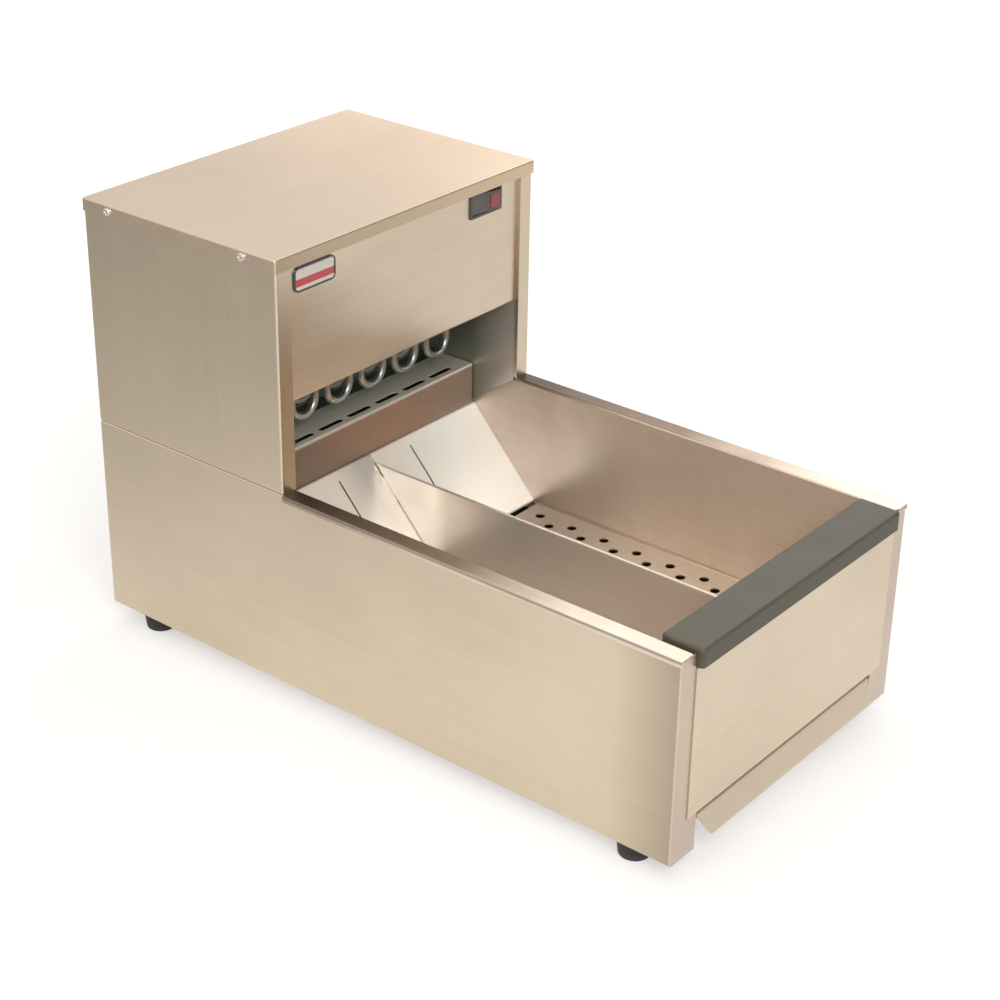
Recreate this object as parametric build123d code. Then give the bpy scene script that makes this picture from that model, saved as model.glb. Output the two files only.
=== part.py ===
from build123d import *
import os
from math import radians, tan

# A counter-top warmer for fried food: a low open bin in front, and at the back a tall head that
# blows heated air over it. Millimetres, +Z up, front towards -Y. The origin is on the counter,
# in the middle of the whole object.

# ---- Overall sizes ----
BODY_WIDTH = 368.0          # over the outer faces of the side panels
BODY_DEPTH = 702.5          # front flanges of the side panels to the back panel
BASE_HEIGHT = 208.5         # bottom edge of the side panels to the rim of the bin
HEAD_HEIGHT = 233.8         # rim of the bin to the top of the lid
HEAD_DEPTH = 250.5
FOOT_HEIGHT = 20.5

# ---- Sheet metal ----
SHEET = 1.2
BEND = 2.4                  # outside radius of a folded corner
LAP = 0.2                   # gap between two sheets that slip past each other
SIDE_RETURN = 37.0          # front and bottom flanges of the base sides
REAR_RETURN = 18.0          # flanges that the back panels are screwed to
HEAD_RETURN = 18.0          # front flanges of the head sides
JOINT_FLANGE = 14.0         # flanges where the head stands on the base

# ---- Front panel and bar ----
SIDE_STRIP = 21.5           # folded edge of a side panel that shows beside the front panel
FRONT_PANEL_RISE = 38.2     # its lower edge above the bottom edge of the sides
HEM_WIDTH = 10.0
BAR_INSET = 22.1            # ends of the bar inside the side panels' faces
BAR_DEPTH = 44.0
BAR_THICKNESS = 18.5
BAR_OVERHANG = 6.5          # in front of the side panels
BAR_PROUD = 3.0             # above the rim
BAR_ROUND = 3.0
BAR_CORNER = 4.0
BAR_SCREW_INSET = 44.0      # outer screws from the ends of the bar

# ---- Bin ----
SIDE_SPACE = 17.6           # face of a side panel to the inner face of the bin's wall
FRONT_CAVITY = 38.7         # side panel fronts to the inner face of the bin's front wall
FLOOR_HEIGHT = 72.0         # ledges above the bottom edge of the sides
SIDE_LEDGE = 12.0
FRONT_LEDGE = 20.0
RIM_LIP_DROP = 6.0
RIM_PLAY = 0.6              # top edges of the base sides to the rim folded over them
MOUTH_DEPTH = 60.0          # head front to the wall behind the chute
CHUTE_DROP = 40.5           # rim to the top of the chute
CHUTE_ANGLE = 47.0          # slope of the chute in degrees
CHUTE_FLANGE = 24.0
FLOOR_END_GAP = 1.0         # loose fit of the lift-out floor between the clips and the chute
REST_GAP = 0.3              # under a piece that lifts or slides out
FLOOR_HOLE_RADIUS = 5.0
FLOOR_HOLE_PITCH = 24.0
FLOOR_ROW_PITCH = 20.8
FLOOR_MARGIN = 14.0
FINGER_HOLE_RADIUS = 12.0

# ---- Divider and what holds it ----
DIVIDER_SHEET = 1.5
DIVIDER_DROP = 51.0         # rim to the divider's top edge
HEM_THICKNESS = 3.0
HEM_HEIGHT = 8.0
DIVIDER_SLIP = 0.3          # play on each side of the divider in its clip and slot
DIVIDER_SPACING = 54.0      # between the middle place and the outer ones
SLOT_TOP_DROP = 11.0        # rim of the chute to the upper end of a slot
SLOT_RUN = 35.0             # height that a slot covers
TAB_REACH = 4.0
CLIP_SHEET = 1.0
CLIP_DEPTH = 7.0
CLIP_LOW = 22.0             # clip's lower end above the ledges
CLIP_HEIGHT = 50.0

# ---- Crumb tray, runners and floor pan ----
TRAY_INSET = 46.0           # faces of the side panels to the sides of the tray
TRAY_LENGTH = 428.0         # side panel fronts to the rear of the tray
TRAY_TOP_GAP = 3.2          # under the lower edge of the front panel
TRAY_SETBACK = 34.0         # side panel fronts to the tray's front wall
TRAY_SHEET = 1.0
LIP_REACH = 9.4             # pull lip in front of the side panels
LIP_DROP = 22.3
LIP_GAP = 1.5               # each end of the lip to the flange beside it
LIP_TAPER = 10.5
LIP_CORNER = 8.0
RUNNER_SHEET = 1.5
RUNNER_LEDGE = 12.5
RUNNER_FOOT = 13.0
RUNNER_LIFT = 4.0           # floor pan to the underside of the runner's ledge
RUNNER_HEIGHT = 21.0
RUNNER_SETBACK = 40.0
TRAY_SIDE_GAP = 1.6
STOP_HEIGHT = 12.0
PAN_SETBACK = 36.0          # the base is open below, in front of the floor pan
PAN_TURN_UP = 4.5

# ---- Feet ----
FOOT_RADIUS = 17.5
FOOT_TAPER = 2.5
FOOT_ROUND = 2.0
FOOT_FROM_SIDE = 22.5
FRONT_FOOT_SETBACK = 52.0
REAR_FOOT_SETBACK = 45.5

# ---- Head ----
OPENING_HEIGHT = 87.0       # rim to the lower edge of the head's front panel
PANEL_RECESS = 4.0          # front flanges of the head sides to the front panel's face
FRONT_LAP = 12.0            # how far the front panel reaches behind the side flanges
PANEL_FOOT = 18.0           # flange at the foot of the front panel
DECK_DROP = 67.3            # top of the lid to the deck that carries the electrical parts
CHEEK_DROP = 58.5           # how far the inner cheeks reach below the rim
SHELF_DEPTH = 63.0          # wall behind the chute to the fan plate
SHELF_SLOT_LENGTH = 34.0
SHELF_SLOT_WIDTH = 7.0
SHELF_SLOT_PITCH = 42.0
SHELF_SLOT_COUNT = 7
SHELF_SLOT_SETBACK = 11.0
WALL_LAP = 48.0             # wall below the top of the chute
BACK_SPACE = 15.0           # between the air duct and the back panel
PLATE_FLANGE = 14.0
FAN_PLATE_FOOT = 20.0       # flange of the fan plate on the shelf
LID_DROP = 13.0             # turned-down edge of the lid
LID_OVERHANG = 1.8
LID_SCREW_DROP = 6.5
LID_SCREW_FRONT = 40.0      # front of the head to the front screws
LID_SCREW_REAR = 34.0       # back of the head to the rear screws
BLANKET_GAP = 0.6           # around the insulation
BLANKET_SETBACK = 4.0

# ---- Heating elements ----
TUBE_RADIUS = 4.0
HEATER_INSET = 24.9         # bin walls to the outer legs of the front heater
FRONT_LOOP_COUNT = 6
REAR_LOOP_COUNT = 5
LOOP_SHARE = 0.66           # width of a loop as a share of the space between loops
FRONT_HEATER_SETBACK = 16.0
REAR_HEATER_SETBACK = 44.0
HEATER_LOW = 20.0           # shelf to the lowest point of a tube's centre line
HEATER_HIGH_DROP = 32.5     # deck to its highest bend
TERMINAL_RISE = 14.0        # tube ends above the deck
BUSH_RADIUS = 8.0
BUSH_HEIGHT = 6.0
BUSH_GAP = 0.1

# ---- Fans ----
FAN_SIZE = 119.0
FAN_DEPTH = 38.0
FAN_OFFSET = 75.0           # each side of the middle
FAN_DUCT_RADIUS = 57.0
FAN_SCREW_SPACING = 104.8
FAN_ROUND = 4.0
FAN_PORT_RADIUS = 56.0
STRUT_WIDTH = 5.0
STRUT_DEPTH = 4.0
MOTOR_PLATE_RADIUS = 30.0
SLEEVE_RADIUS = 6.0
SLEEVE_LENGTH = 22.0
STATOR_RADIUS = 24.0
STATOR_LENGTH = 16.0
STATOR_SLOT_COUNT = 12
SHAFT_RADIUS = 3.0
SHAFT_RUN = 0.05            # running clearance of the shaft, on the radius
HUB_RADIUS = 31.0
HUB_WALL = 4.0
HUB_LENGTH = 27.0
HUB_SETBACK = 5.0
BLADE_COUNT = 7
BLADE_CHORD = 28.0
BLADE_THICKNESS = 1.8
BLADE_PITCH = 40.0          # degrees
BLADE_TIP_GAP = 1.5

# ---- Power switch ----
SWITCH_FROM_SIDE = 69.3     # right side of the body to the switch's centre
SWITCH_DROP = 26.3          # top of the lid to its centre
BEZEL_WIDTH = 48.3
BEZEL_HEIGHT = 26.3
BEZEL_PROUD = 2.0
BEZEL_BORDER = 1.6          # bezel beyond the switch's body
SWITCH_DEPTH = 28.0
SWITCH_WALL = 1.2
SWITCH_FIT = 0.2
POCKET_DEPTH = 12.0
PIVOT_SETBACK = 8.0         # behind the bezel's face
PIVOT_RADIUS = 1.5
PIVOT_RUN = 0.05
PIVOT_REACH = 1.0
ROCKER_GAP = 0.5
ROCKER_HALF = 19.4
ROCKER_CREST = 9.5
ROCKER_MIDDLE = 7.8
ROCKER_BACK = 2.5
ROCKER_TILT = 10.0          # degrees each way from level
LENS_LENGTH = 12.0
LENS_HEIGHT = 14.0
LENS_DEPTH = 1.4
LENS_PROUD = 0.4
LENS_FIT = 0.05
SPADE_LENGTH = 8.0
SPADE_SPACING = 8.0

# ---- Badge plate, bare of any lettering ----
BADGE_FROM_SIDE = 53.7      # left side of the body to the plate's centre
BADGE_DROP = 29.1
BADGE_WIDTH = 54.4
BADGE_HEIGHT = 24.0
BADGE_THICKNESS = 1.6
BADGE_CORNER = 6.0
BADGE_RECESS = 0.5
BADGE_BORDER = 1.8

# ---- Power inlet and the parts on the deck ----
INLET_FROM_SIDE = 74.0
INLET_DROP = 43.8
INLET_WIDTH = 50.0
INLET_HEIGHT = 28.0
INLET_PROUD = 3.0
INLET_BODY_WIDTH = 28.0
INLET_BODY_HEIGHT = 20.4
INLET_BODY_DEPTH = 20.0
INLET_FIT = 0.2
SOCKET_WIDTH = 24.0
SOCKET_HEIGHT = 16.4
SOCKET_DEPTH = 17.0
SOCKET_CORNER = 3.0
PIN_SPACING = 7.0
PIN_WIDTH = 2.0
PIN_HEIGHT = 4.0
PIN_LENGTH = 14.0
PIN_LOW = 2.6               # outer pins below the socket's middle
VENT_FROM_SIDE = 124.0
VENT_DROP = 38.8
VENT_LENGTH = 90.0
VENT_WIDTH = 3.5
VENT_PITCH = 8.0
VENT_COUNT = 6
BLOCK_X = 20.0
BLOCK_SETBACK = 60.0        # in front of the back panel
BLOCK_LENGTH = 66.0
BLOCK_WIDTH = 22.0
BLOCK_HEIGHT = 18.0
BLOCK_WAY_COUNT = 5
THERMOSTAT_RADIUS = 8.5
THERMOSTAT_HEIGHT = 9.0
THERMOSTAT_EAR = 24.0
THERMOSTAT_SETBACK = 55.5   # behind the wall behind the chute
CONTROL_STAT_X = -40.0
LIMIT_STAT_X = 40.0
HARNESS_RADIUS = 3.0
HARNESS_BEND = 6.0
HARNESS_RUN = 55.2          # straight run behind the switch

# ---- Screws ----
SCREW_RADIUS = 1.9
SCREW_HOLE_RADIUS = 2.1
SCREW_HEAD_RADIUS = 4.0
SCREW_HEAD_HEIGHT = 2.2
SCREW_LENGTH = 7.0
BAR_SCREW_LENGTH = 15.0
FAN_SCREW_LENGTH = 14.0
FOOT_SCREW_RADIUS = 3.0
FOOT_SCREW_HOLE = 3.1
FOOT_SCREW_HEAD = 6.0
FOOT_SCREW_HEAD_HEIGHT = 3.2
FOOT_SCREW_LENGTH = 16.0
BORE_SPARE = 1.0            # blind bores run past the tips of their screws
BACK_SCREW_INSET = 30.0     # from the lower and upper edges of a back panel

# ---- Places worked out from the sizes above ----
FRONT = -(BODY_DEPTH + INLET_PROUD - LIP_REACH) / 2
REAR = FRONT + BODY_DEPTH
HEAD_FRONT = REAR - HEAD_DEPTH
SIDE = BODY_WIDTH / 2
BOTTOM = FOOT_HEIGHT
RIM = BOTTOM + BASE_HEIGHT
TOP = RIM + HEAD_HEIGHT
WALL = SIDE - SIDE_SPACE
BAR_HALF = SIDE - BAR_INSET
TRAY_HALF = SIDE - TRAY_INSET
FLOOR = BOTTOM + FLOOR_HEIGHT
FRONT_WALL = FRONT + FRONT_CAVITY
BAR_BASE = RIM + BAR_PROUD - BAR_THICKNESS
DUCT_WALL = HEAD_FRONT + MOUTH_DEPTH
CHUTE_TOP = RIM - CHUTE_DROP
CHUTE_SLOPE = tan(radians(CHUTE_ANGLE))
CHUTE_FOOT = DUCT_WALL - (CHUTE_TOP - FLOOR) / CHUTE_SLOPE
FAN_PLATE = DUCT_WALL + SHELF_DEPTH
DUCT_BACK = REAR - BACK_SPACE
DECK = TOP - DECK_DROP
CHEEK = WALL + SHEET
PAN_TOP = BOTTOM + 2 * SHEET
RUNNER_TOP = PAN_TOP + RUNNER_LIFT + RUNNER_SHEET
TRAY_BASE = RUNNER_TOP + REST_GAP
TRAY_TOP = BOTTOM + FRONT_PANEL_RISE - TRAY_TOP_GAP
PANEL_FACE = HEAD_FRONT + PANEL_RECESS
FAN_HEIGHT = (RIM + DECK) / 2
LOOP_PITCH = 2 * (WALL - HEATER_INSET) / (FRONT_LOOP_COUNT - 1 + LOOP_SHARE)
LOOP_WIDTH = LOOP_SHARE * LOOP_PITCH
SWITCH_PLACE = (SIDE - SWITCH_FROM_SIDE, PANEL_FACE - BEZEL_PROUD, TOP - SWITCH_DROP)
INLET_PLACE = (SIDE - INLET_FROM_SIDE, REAR, TOP - INLET_DROP)
DIVIDER_PLACES = (-DIVIDER_SPACING, 0.0, DIVIDER_SPACING)
CUT = 5.0                   # how far a cutting block runs past what it cuts


# ---- Making shapes ----
def block(x0, x1, y0, y1, z0, z1):
    """A box between two corners."""
    box = Box(x1 - x0, y1 - y0, z1 - z0, align=(Align.MIN, Align.MIN, Align.MIN))
    return Pos(x0, y0, z0) * box


def rod(radius, start, end):
    """A round bar between two points on a line along one axis."""
    start, end = Vector(start), Vector(end)
    along = end - start
    bar = Cylinder(radius, along.length, align=(Align.CENTER, Align.CENTER, Align.MIN))
    return Plane(origin=start, z_dir=along).location * bar


def sheet_section(points, side, thickness=SHEET, bend=BEND):
    """The section of a folded sheet. Its thickness lies on one side of the line of points."""
    line = FilletPolyline(*points, radius=bend)
    return make_face(offset(line, thickness, side=side))


def folded_across(points, side, half_width, thickness=SHEET, bend=BEND):
    """A sheet folded across the object: points are Y and Z, and it spans both sides of X = 0."""
    section = Plane.YZ * sheet_section(points, side, thickness, bend)
    return Pos(-half_width, 0, 0) * extrude(section, 2 * half_width)


def folded_lengthwise(points, side, y0, y1, thickness=SHEET, bend=BEND):
    """A sheet folded along the object: points are X and Z, and it runs from y0 to y1."""
    section = Plane.XZ * sheet_section(points, side, thickness, bend)
    return Pos(0, y0, 0) * extrude(section, amount=y1 - y0, dir=(0, 1, 0))


def other_side(part):
    """The same piece on the other side of the object."""
    return mirror(part, about=Plane.YZ)


def folds_rounded(part, radius):
    """The block with the folds along its left face rounded: front, bottom and top."""
    return fillet(part.faces().sort_by(Axis.X)[0].edges().sort_by(Axis.Y)[:-1], radius)


def screw(head_radius, head_height, shank_radius, length):
    """A pan-head screw: its head stands on the XY plane, and its shank goes down."""
    head = Cylinder(head_radius, head_height, align=(Align.CENTER, Align.CENTER, Align.MIN))
    head = fillet(head.edges().group_by(Axis.Z)[-1], head_height * 0.45)
    shank = Cylinder(shank_radius, length, align=(Align.CENTER, Align.CENTER, Align.MAX))
    bar = Box(head_radius * 1.1, head_radius * 0.3, head_height * 0.6, align=Align.CENTER)
    recess = Pos(0, 0, head_height) * (bar + Rot(0, 0, 90) * bar)
    return head + shank - recess


def screws_at(places, outward, head_radius, head_height, shank_radius, length):
    """A group of like screws. outward points from the shank to the head."""
    one = screw(head_radius, head_height, shank_radius, length)
    return [Plane(origin=place, z_dir=outward).location * one for place in places]


def small_screws(places, outward, length):
    return screws_at(places, outward, SCREW_HEAD_RADIUS, SCREW_HEAD_HEIGHT, SCREW_RADIUS, length)


def drilled(part, places, axis, radius, reach):
    """The part with round holes through it, reach long each way from each place."""
    step = Vector(axis) * reach
    return part - [rod(radius, Vector(p) - step, Vector(p) + step) for p in places]


# ---- Places that more than one piece shares ----
def foot_places():
    x = SIDE - FOOT_FROM_SIDE
    front, rear = FRONT + FRONT_FOOT_SETBACK, REAR - REAR_FOOT_SETBACK
    return {
        "foot_front_left": (-x, front),
        "foot_front_right": (x, front),
        "foot_rear_left": (-x, rear),
        "foot_rear_right": (x, rear),
    }


def foot_hole_places():
    return [(x, y, BOTTOM) for x, y in foot_places().values()]


def bar_screw_places():
    y = FRONT + (BAR_DEPTH - BAR_OVERHANG) / 2
    spacing = BAR_HALF - BAR_SCREW_INSET
    return [(step * spacing, y, BAR_BASE - 2 * SHEET) for step in (-1, 0, 1)]


def lid_screw_places(sign):
    x = sign * (SIDE + LID_OVERHANG)
    rows = (HEAD_FRONT + LID_SCREW_FRONT, REAR - LID_SCREW_REAR)
    return [(x, y, TOP - LID_SCREW_DROP) for y in rows]


def back_screw_places(low, high):
    x = SIDE - REAR_RETURN / 2
    rows = (low + BACK_SCREW_INSET, (low + high) / 2, high - BACK_SCREW_INSET)
    return [(sign * x, REAR, z) for sign in (-1, 1) for z in rows]


def fan_centre(sign):
    return (sign * FAN_OFFSET, FAN_PLATE, FAN_HEIGHT)


def fan_screw_places(sign):
    x, y, z = fan_centre(sign)
    half = FAN_SCREW_SPACING / 2
    return [(x + i * half, y - SHEET, z + j * half) for i in (-1, 1) for j in (-1, 1)]


def heater_leg_places(loops):
    """Where the two legs of each loop stand, from left to right."""
    middles = [(i - (loops - 1) / 2) * LOOP_PITCH for i in range(loops)]
    return [x + sign * LOOP_WIDTH / 2 for x in middles for sign in (-1, 1)]


def heater_end_places():
    places = []
    rows = ((FRONT_LOOP_COUNT, FRONT_HEATER_SETBACK), (REAR_LOOP_COUNT, REAR_HEATER_SETBACK))
    for loops, setback in rows:
        legs = heater_leg_places(loops)
        places += [(x, DUCT_WALL + setback, DECK) for x in (legs[0], legs[-1])]
    return places


# ---- Base ----
def base_side():
    """Left side of the base: one sheet, folded in at the front, bottom, back and under the head."""
    shell = block(-SIDE, -SIDE + SIDE_RETURN, FRONT, REAR, BOTTOM, RIM)
    hollow = block(-SIDE + SHEET, 0, FRONT + SHEET, REAR + CUT, BOTTOM + SHEET, RIM - SHEET)
    side = folds_rounded(shell, BEND) - folds_rounded(hollow, BEND - SHEET)
    top = RIM - SHEET - RIM_PLAY
    under_rim = block(-SIDE - CUT, 0, FRONT - CUT, HEAD_FRONT, top, RIM + CUT)
    beside_cheek = block(-SIDE + JOINT_FLANGE, 0, HEAD_FRONT, REAR + CUT, RIM - SHEET, RIM + CUT)
    for_bar = block(-SIDE + SIDE_STRIP, 0, FRONT - CUT, FRONT + SHEET, BAR_BASE - BEND, RIM)
    for_back = block(-SIDE + SHEET, 0, REAR - SHEET, REAR + CUT, BOTTOM - CUT, RIM + CUT)
    side = side - under_rim - beside_cheek - for_bar - for_back
    back_y = REAR - SHEET
    flange = block(-SIDE + SHEET, -SIDE + REAR_RETURN, back_y - SHEET, back_y, BOTTOM + SHEET,
                   RIM - SHEET)
    side = side + flange
    side = drilled(side, back_screw_places(BOTTOM, RIM), (0, 1, 0), SCREW_HOLE_RADIUS, CUT)
    return drilled(side, foot_hole_places(), (0, 0, 1), FOOT_SCREW_HOLE, CUT)


def base_front_panel():
    """Front of the base: its top is folded back under the bar and its lower edge is hemmed."""
    face = FRONT - SHEET
    low = BOTTOM + FRONT_PANEL_RISE
    back_edge = FRONT_WALL - 2 * SHEET
    points = [(FRONT + HEM_WIDTH, low), (face, low), (face, BAR_BASE), (back_edge, BAR_BASE)]
    panel = folded_across(points, Side.RIGHT, SIDE - SIDE_STRIP)
    inner = SIDE - SIDE_RETURN - LAP
    for sign in (-1, 1):
        x0, x1 = sorted((sign * inner, sign * SIDE))
        panel -= block(x0, x1, FRONT, FRONT + HEM_WIDTH + CUT, low - CUT, low + BEND + CUT)
    return drilled(panel, bar_screw_places(), (0, 0, 1), SCREW_HOLE_RADIUS, CUT)


def base_back_panel():
    """Plain back of the base, screwed to the flanges of the sides."""
    half = SIDE - SHEET - LAP
    panel = block(-half, half, REAR - SHEET, REAR, BOTTOM, RIM - LAP)
    return drilled(panel, back_screw_places(BOTTOM, RIM), (0, 1, 0), SCREW_HOLE_RADIUS, CUT)


def bottom_pan():
    """Floor of the base, lying on the bottom flanges of the sides and turned up at the front."""
    half = SIDE - BEND
    start = FRONT + PAN_SETBACK
    end = REAR - 2 * SHEET - LAP
    low = BOTTOM + SHEET
    points = [(start, PAN_TOP + PAN_TURN_UP), (start, low), (end, low)]
    pan = folded_across(points, Side.LEFT, half)
    return drilled(pan, foot_hole_places(), (0, 0, 1), FOOT_SCREW_HOLE, CUT)


def front_bar():
    """Black polymer bar across the front of the bin, with rounded edges."""
    half = BAR_HALF
    y0 = FRONT - BAR_OVERHANG
    bar = block(-half, half, y0, y0 + BAR_DEPTH, BAR_BASE, BAR_BASE + BAR_THICKNESS)
    bar = fillet(bar.edges().filter_by(Axis.Z), BAR_CORNER)
    bar = fillet(bar.edges().group_by(Axis.Z)[-1], BAR_ROUND)
    depth = BAR_SCREW_LENGTH - 2 * SHEET + BORE_SPARE
    holes = [rod(SCREW_HOLE_RADIUS, (x, y, BAR_BASE), (x, y, BAR_BASE + depth))
             for x, y, z in bar_screw_places()]
    return bar - holes


def foot():
    """Moulded rubber foot, tapered downwards, with a blind bore for its screw."""
    low = FOOT_RADIUS - FOOT_TAPER
    outline = Polyline((0, 0), (low, 0), (FOOT_RADIUS, FOOT_HEIGHT), (0, FOOT_HEIGHT), close=True)
    body = revolve(Plane.XZ * make_face(outline), Axis.Z)
    body = fillet(body.edges().group_by(Axis.Z)[0], FOOT_ROUND)
    depth = FOOT_SCREW_LENGTH - 2 * SHEET + BORE_SPARE
    return body - rod(FOOT_SCREW_HOLE, (0, 0, FOOT_HEIGHT - depth), (0, 0, FOOT_HEIGHT))


# ---- Bin ----
def bin_side_wall():
    """Left wall of the bin: a rim over the side panel, the wall, and a ledge for the floor."""
    lip = -SIDE - LAP - SHEET
    end = DUCT_WALL
    points = [
        (lip, RIM - RIM_LIP_DROP), (lip, RIM), (-WALL, RIM), (-WALL, FLOOR),
        (-WALL + SIDE_LEDGE, FLOOR),
    ]
    wall = folded_lengthwise(points, Side.RIGHT, FRONT, end)
    behind_flange = block(-SIDE, 0, FRONT - CUT, FRONT + SHEET + LAP, FLOOR - CUT, RIM - SHEET)
    corner = RIM - SHEET - BEND
    past_corner = block(-WALL - BEND, 0, FRONT - CUT, FRONT + SHEET + LAP, corner, RIM + CUT)
    rim_in_head = block(-SIDE - CUT, -WALL - SHEET, HEAD_FRONT, end + CUT, FLOOR, RIM + CUT)
    slope = Polyline(
        (HEAD_FRONT, RIM), (end, CHUTE_TOP), (end + CUT, CHUTE_TOP), (end + CUT, RIM + CUT),
        (HEAD_FRONT, RIM + CUT), close=True,
    )
    above_slope = Pos(-SIDE, 0, 0) * extrude(Plane.YZ * make_face(slope), SIDE)
    return wall - behind_flange - past_corner - rim_in_head - above_slope


def bin_front_wall():
    """Front wall of the bin: a flange under the bar, the wall, and a ledge for the floor."""
    high = BAR_BASE - SHEET
    points = [
        (FRONT + SHEET + LAP, high), (FRONT_WALL, high), (FRONT_WALL, FLOOR),
        (FRONT_WALL + FRONT_LEDGE, FLOOR),
    ]
    wall = folded_across(points, Side.RIGHT, WALL - LAP)
    for sign in (-1, 1):
        x0, x1 = sorted((sign * (WALL - SIDE_LEDGE - LAP), sign * SIDE))
        wall -= block(x0, x1, FRONT_WALL - SHEET - CUT, FRONT_WALL + FRONT_LEDGE + CUT,
                      FLOOR - CUT, FLOOR + BEND)
    return drilled(wall, bar_screw_places(), (0, 0, 1), SCREW_HOLE_RADIUS, CUT)


def chute_slot(x):
    """Cutter for one slot that holds the rear tab of a divider."""
    half = DIVIDER_SHEET / 2 + DIVIDER_SLIP
    high = CHUTE_TOP - SLOT_TOP_DROP
    low = high - SLOT_RUN
    y_high = DUCT_WALL - SLOT_TOP_DROP / CHUTE_SLOPE
    y_low = y_high - SLOT_RUN / CHUTE_SLOPE
    reach = 2 * CUT
    outline = Polyline(
        (y_low - reach, low + reach / CHUTE_SLOPE), (y_low + reach, low - reach / CHUTE_SLOPE),
        (y_high + reach, high - reach / CHUTE_SLOPE), (y_high - reach, high + reach / CHUTE_SLOPE),
        close=True,
    )
    return Pos(x - half, 0, 0) * extrude(Plane.YZ * make_face(outline), 2 * half)


def chute():
    """Sloping back of the bin: it hangs on the wall behind it and stands on the ledges."""
    points = [
        (DUCT_WALL, CHUTE_TOP - CHUTE_FLANGE), (DUCT_WALL, CHUTE_TOP), (CHUTE_FOOT, FLOOR),
        (CHUTE_FOOT + CHUTE_FLANGE, FLOOR),
    ]
    plate = folded_across(points, Side.LEFT, WALL - LAP)
    for sign in (-1, 1):
        x0, x1 = sorted((sign * (WALL - BEND), sign * SIDE))
        plate -= block(x0, x1, CHUTE_FOOT - CUT, DUCT_WALL, FLOOR - CUT, FLOOR + BEND)
    return plate - [chute_slot(x) for x in DIVIDER_PLACES]


def bin_floor():
    """Lift-out perforated floor with a finger hole near each end."""
    half = WALL - BEND
    y0 = FRONT_WALL + CLIP_DEPTH + FLOOR_END_GAP
    y1 = CHUTE_FOOT - FLOOR_END_GAP - BEND
    middle = (y0 + y1) / 2
    inner_width = 2 * (half - FLOOR_MARGIN)
    inner_length = y1 - y0 - 2 * FLOOR_MARGIN
    columns = int(inner_width / FLOOR_HOLE_PITCH)
    rows = int(inner_length / (2 * FLOOR_ROW_PITCH))
    hole = Circle(FLOOR_HOLE_RADIUS)
    first = GridLocations(FLOOR_HOLE_PITCH, 2 * FLOOR_ROW_PITCH, columns, rows)
    shift = Pos(FLOOR_HOLE_PITCH / 2, FLOOR_ROW_PITCH)
    fingers = [(0, y0 + 2.5 * FLOOR_MARGIN), (0, y1 - 2.5 * FLOOR_MARGIN)]
    fingers = [(x + sign * WALL / 2, y - middle) for x, y in fingers for sign in (-1, 1)]
    keep_out = FINGER_HOLE_RADIUS + FLOOR_HOLE_RADIUS + 2 * SHEET
    places = [spot for spot in first] + [shift * spot for spot in first]
    holes = []
    for spot in places:
        at = spot.position
        clear = all(Vector(x - at.X, y - at.Y).length > keep_out for x, y in fingers)
        inside = abs(at.X) < half - FLOOR_MARGIN / 2 and abs(at.Y) < inner_length / 2
        if clear and inside:
            holes.append(spot * hole)
    holes += [Pos(x, y) * Circle(FINGER_HOLE_RADIUS) for x, y in fingers]
    outline = Rectangle(2 * half, y1 - y0) - holes
    return Pos(0, middle, FLOOR + REST_GAP) * extrude(outline, SHEET)


def divider():
    """Lift-out divider: an upright sheet with a thick hemmed top and a tab through the chute."""
    low = FLOOR + REST_GAP + SHEET + REST_GAP
    high = RIM - DIVIDER_DROP
    front = FRONT_WALL + CLIP_SHEET + DIVIDER_SLIP
    off_slope = 1.5 * SHEET

    def slope_y(z):
        return DUCT_WALL - (CHUTE_TOP - z) / CHUTE_SLOPE - off_slope

    outline = Polyline(
        (front, low), (slope_y(low), low), (slope_y(high), high), (front, high), close=True
    )
    plate = extrude(Plane.YZ * make_face(outline), DIVIDER_SHEET / 2, both=True)
    tab_high = CHUTE_TOP - SLOT_TOP_DROP - SLOT_RUN * 0.35
    tab_low = CHUTE_TOP - SLOT_TOP_DROP - SLOT_RUN + 2 * SHEET
    reach = off_slope + TAB_REACH
    tab = Polyline(
        (slope_y(tab_low) - CUT, tab_low), (slope_y(tab_low) + reach, tab_low),
        (slope_y(tab_high) + reach, tab_high), (slope_y(tab_high) - CUT, tab_high), close=True,
    )
    tab = extrude(Plane.YZ * make_face(tab), DIVIDER_SHEET / 2, both=True)
    half = HEM_THICKNESS / 2
    hem = block(-half, half, front + CLIP_DEPTH, slope_y(high) - HEM_HEIGHT, high - HEM_HEIGHT, high)
    hem = fillet(hem.edges().filter_by(Axis.Y).group_by(Axis.Z)[-1], half * 0.9)
    return plate + tab + hem


def divider_clip(x):
    """Folded channel on the front wall: the front edge of a divider slides down into it."""
    half = DIVIDER_SHEET / 2 + DIVIDER_SLIP
    low = FLOOR + CLIP_LOW
    high = low + CLIP_HEIGHT
    y0, y1 = FRONT_WALL, FRONT_WALL + CLIP_DEPTH
    outer = block(x - half - CLIP_SHEET, x + half + CLIP_SHEET, y0, y1, low, high)
    return outer - block(x - half, x + half, y0 + CLIP_SHEET, y1 + CUT, low - CUT, high + CUT)


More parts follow.
